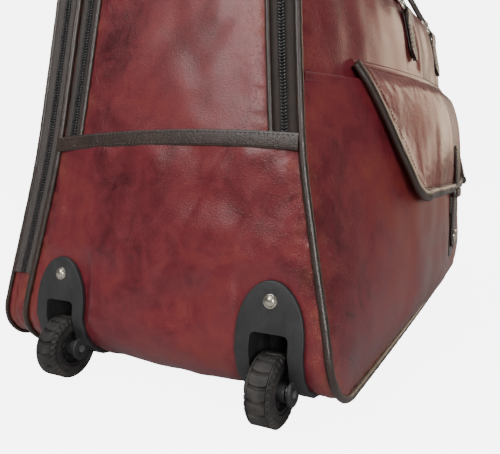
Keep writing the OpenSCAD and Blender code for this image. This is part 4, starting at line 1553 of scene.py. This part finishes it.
STUDIO_RADIUS, STUDIO_HEIGHT = 7, 6
CAMERA_PLACE = (-0.5929, -0.24486, 0.18645)
CAMERA_YAW_PITCH_ROLL = (0.4800, 0.1425, -0.0072)
CAMERA_LENS = 39.7


def make_stage():
    """Pale floor, soft studio light and the camera."""
    clear_selection()
    bpy.ops.mesh.primitive_cylinder_add(
        vertices=96, radius=STUDIO_RADIUS, depth=STUDIO_HEIGHT,
        location=(0, 0, STUDIO_HEIGHT / 2), end_fill_type="NOTHING")
    wall = started("studio_wall")
    clear_selection()
    bpy.ops.mesh.primitive_circle_add(vertices=96, radius=STUDIO_RADIUS, fill_type="NGON")
    floor = joined("studio_floor", [started("studio_floor"), wall])
    made = bpy.data.materials.new("Studio floor")
    made.use_nodes = True
    tree, shader = made.node_tree, made.node_tree.nodes["Principled BSDF"]
    seen = put(tree, "LightPath").outputs["Is Camera Ray"]
    put_in(tree, shader, {"Base Color": (0.5, 0.5, 0.5, 1), "Roughness": 0.8,
                          "Specular IOR Level": 0.1, "Emission Color": (1, 1, 1, 1),
                          "Emission Strength": sums(tree, "MULTIPLY", seen, 6.0)})
    floor.data.materials.append(made)
    world = bpy.data.worlds.new("Studio")
    bpy.context.scene.world = world
    world.use_nodes = True
    world.node_tree.nodes["Background"].inputs["Color"].default_value = (1, 1, 1, 1)
    world.node_tree.nodes["Background"].inputs["Strength"].default_value = 0.6
    lamps = [
        area_light("overhead_softbox", (-0.6, 0.3, 1.7), (-0.1, 0, 0.2), (1.0, 0.8), 9,
                   (0.92, 0.95, 1)),
        area_light("end_softbox", (-1.7, 0.5, 1.2), (-0.25, 0, 0.2), (0.7, 0.9), 15),
        area_light("front_softbox", (2.0, -1.0, 0.7), (0.1, -0.1, 0.2), (0.8, 1.0), 9,
                   (1, 0.78, 0.56)),
        area_light("low_fill", (-1.5, -1.2, 0.6), (-0.1, 0, 0.15), (0.9, 0.7), 22)]
    camera = bpy.data.objects.new("studio_camera", bpy.data.cameras.new("studio_camera"))
    bpy.context.scene.collection.objects.link(camera)
    yaw, pitch, roll = CAMERA_YAW_PITCH_ROLL
    ahead = Vector((math.cos(yaw) * math.cos(pitch), math.sin(yaw) * math.cos(pitch),
                    -math.sin(pitch)))
    right = Vector((math.sin(yaw), -math.cos(yaw), 0))
    up = right.cross(ahead)
    turned_right = right * math.cos(roll) + up * math.sin(roll)
    turned_up = up * math.cos(roll) - right * math.sin(roll)
    turn = Matrix((turned_right, turned_up, -ahead)).transposed().to_4x4()
    camera.matrix_world = Matrix.Translation(CAMERA_PLACE) @ turn
    camera.data.lens = CAMERA_LENS
    camera.data.clip_start = 0.01
    bpy.context.scene.camera = camera


# ---------------------------------------------------------------- settings and operators


class DuffelSizes(bpy.types.PropertyGroup):
    """Sizes that can be changed without repacking the frame."""

    leather: bpy.props.FloatProperty(name="Leather", description="Thickness of the leather",
                                     default=0.0012, unit="LENGTH")
    piping: bpy.props.FloatProperty(name="Piping", description="Diameter of the edge piping",
                                    default=0.0056, unit="LENGTH")
    stitch: bpy.props.FloatProperty(name="Stitch", description="Length of one stitch",
                                    default=0.0024, unit="LENGTH")
    coil_pitch: bpy.props.FloatProperty(name="Zip pitch", description="Distance from one "
                                        "zip tooth to the next", default=0.0022, unit="LENGTH")


def colour_property(name, description, default):
    return bpy.props.FloatVectorProperty(name=name, description=description, default=default,
                                         subtype="COLOR", min=0, max=1)


class DuffelColours(bpy.types.PropertyGroup):
    """Colours of the leather and cloth."""

    burgundy: colour_property("Burgundy", "Main tone of the leather", (0.138, 0.0165, 0.024))
    burgundy_dark: colour_property("Dark burgundy", "Dark mottling and creases",
                                   (0.060, 0.0075, 0.012))
    burgundy_light: colour_property("Light burgundy", "Light mottling", (0.185, 0.029, 0.024))
    # Tan is rubbed wear beside the seams, partly a painted highlight there, and the painted warm
    # sheen on the right of the front
    tan: colour_property("Tan", "Worn leather beside the seams", (0.30, 0.100, 0.050))
    brown: colour_property("Brown", "Piping, handles and binding", (0.029, 0.0145, 0.009))
    tape: colour_property("Zip tape", "Woven zip tapes", (0.026, 0.015, 0.0105))


def duffel_operator(key, label, about, action):
    """Operator class that makes one piece or one group of like pieces."""

    def execute(self, context):
        action()
        return {"FINISHED"}

    return type("OBJECT_OT_duffel_" + key, (bpy.types.Operator,), {
        "__doc__": about, "bl_idname": "object.duffel_" + key, "bl_label": label,
        "bl_options": {"REGISTER", "UNDO"}, "execute": execute})


OPERATORS = [duffel_operator(*row) for row in (
    ("leather", "Leather Panels", "Drape the outer leather panels", make_leather),
    ("slim", "Slim Compartment", "Build the slim compartment on the back", make_slim),
    ("piping", "Piping", "Sew the corded edges", make_piping),
    ("zips", "Zips", "Lay the zip tapes and teeth", make_zips),
    ("bands", "End Bands", "Fold the bands over the ends of the zips", make_bands),
    ("flap", "Pocket Flap", "Build the pocket flap and its binding", make_flap),
    ("closure", "Closure Strap", "Build the closure strap and snap", make_closure),
    ("handles", "Carry Handles", "Build the two carry handles", make_handles),
    ("wheels", "Wheels", "Turn the tyres and hubs", make_wheels),
    ("housings", "Wheel Housings", "Shape the wheel housings and rivets", make_housings),
    ("fittings", "Fittings", "Shape the telescopic handle, feet and sliders", make_fittings),
    ("stage", "Stage", "Set the floor, lights and camera", make_stage),
)]


class VIEW3D_PT_duffel(bpy.types.Panel):
    """Sizes, colours and build steps."""

    bl_label = "Rolling Flight Duffel"
    bl_space_type = "VIEW_3D"
    bl_region_type = "UI"
    bl_category = "Duffel"

    def draw(self, context):
        for settings in (context.scene.duffel_sizes, context.scene.duffel_colours):
            box = self.layout.box()
            for key in settings.__annotations__:
                box.prop(settings, key)
        for operator in OPERATORS:
            self.layout.operator(operator.bl_idname)


CLASSES = [DuffelSizes, DuffelColours, *OPERATORS, VIEW3D_PT_duffel]


def register():
    for cls in CLASSES:
        bpy.utils.register_class(cls)
    bpy.types.Scene.duffel_sizes = bpy.props.PointerProperty(type=DuffelSizes)
    bpy.types.Scene.duffel_colours = bpy.props.PointerProperty(type=DuffelColours)


def unregister():
    del bpy.types.Scene.duffel_colours
    del bpy.types.Scene.duffel_sizes
    for cls in reversed(CLASSES):
        bpy.utils.unregister_class(cls)


def main():
    register()
    for operator in OPERATORS:
        getattr(bpy.ops.object, operator.bl_idname.split(".")[1])()


if __name__ == "__main__":
    main()
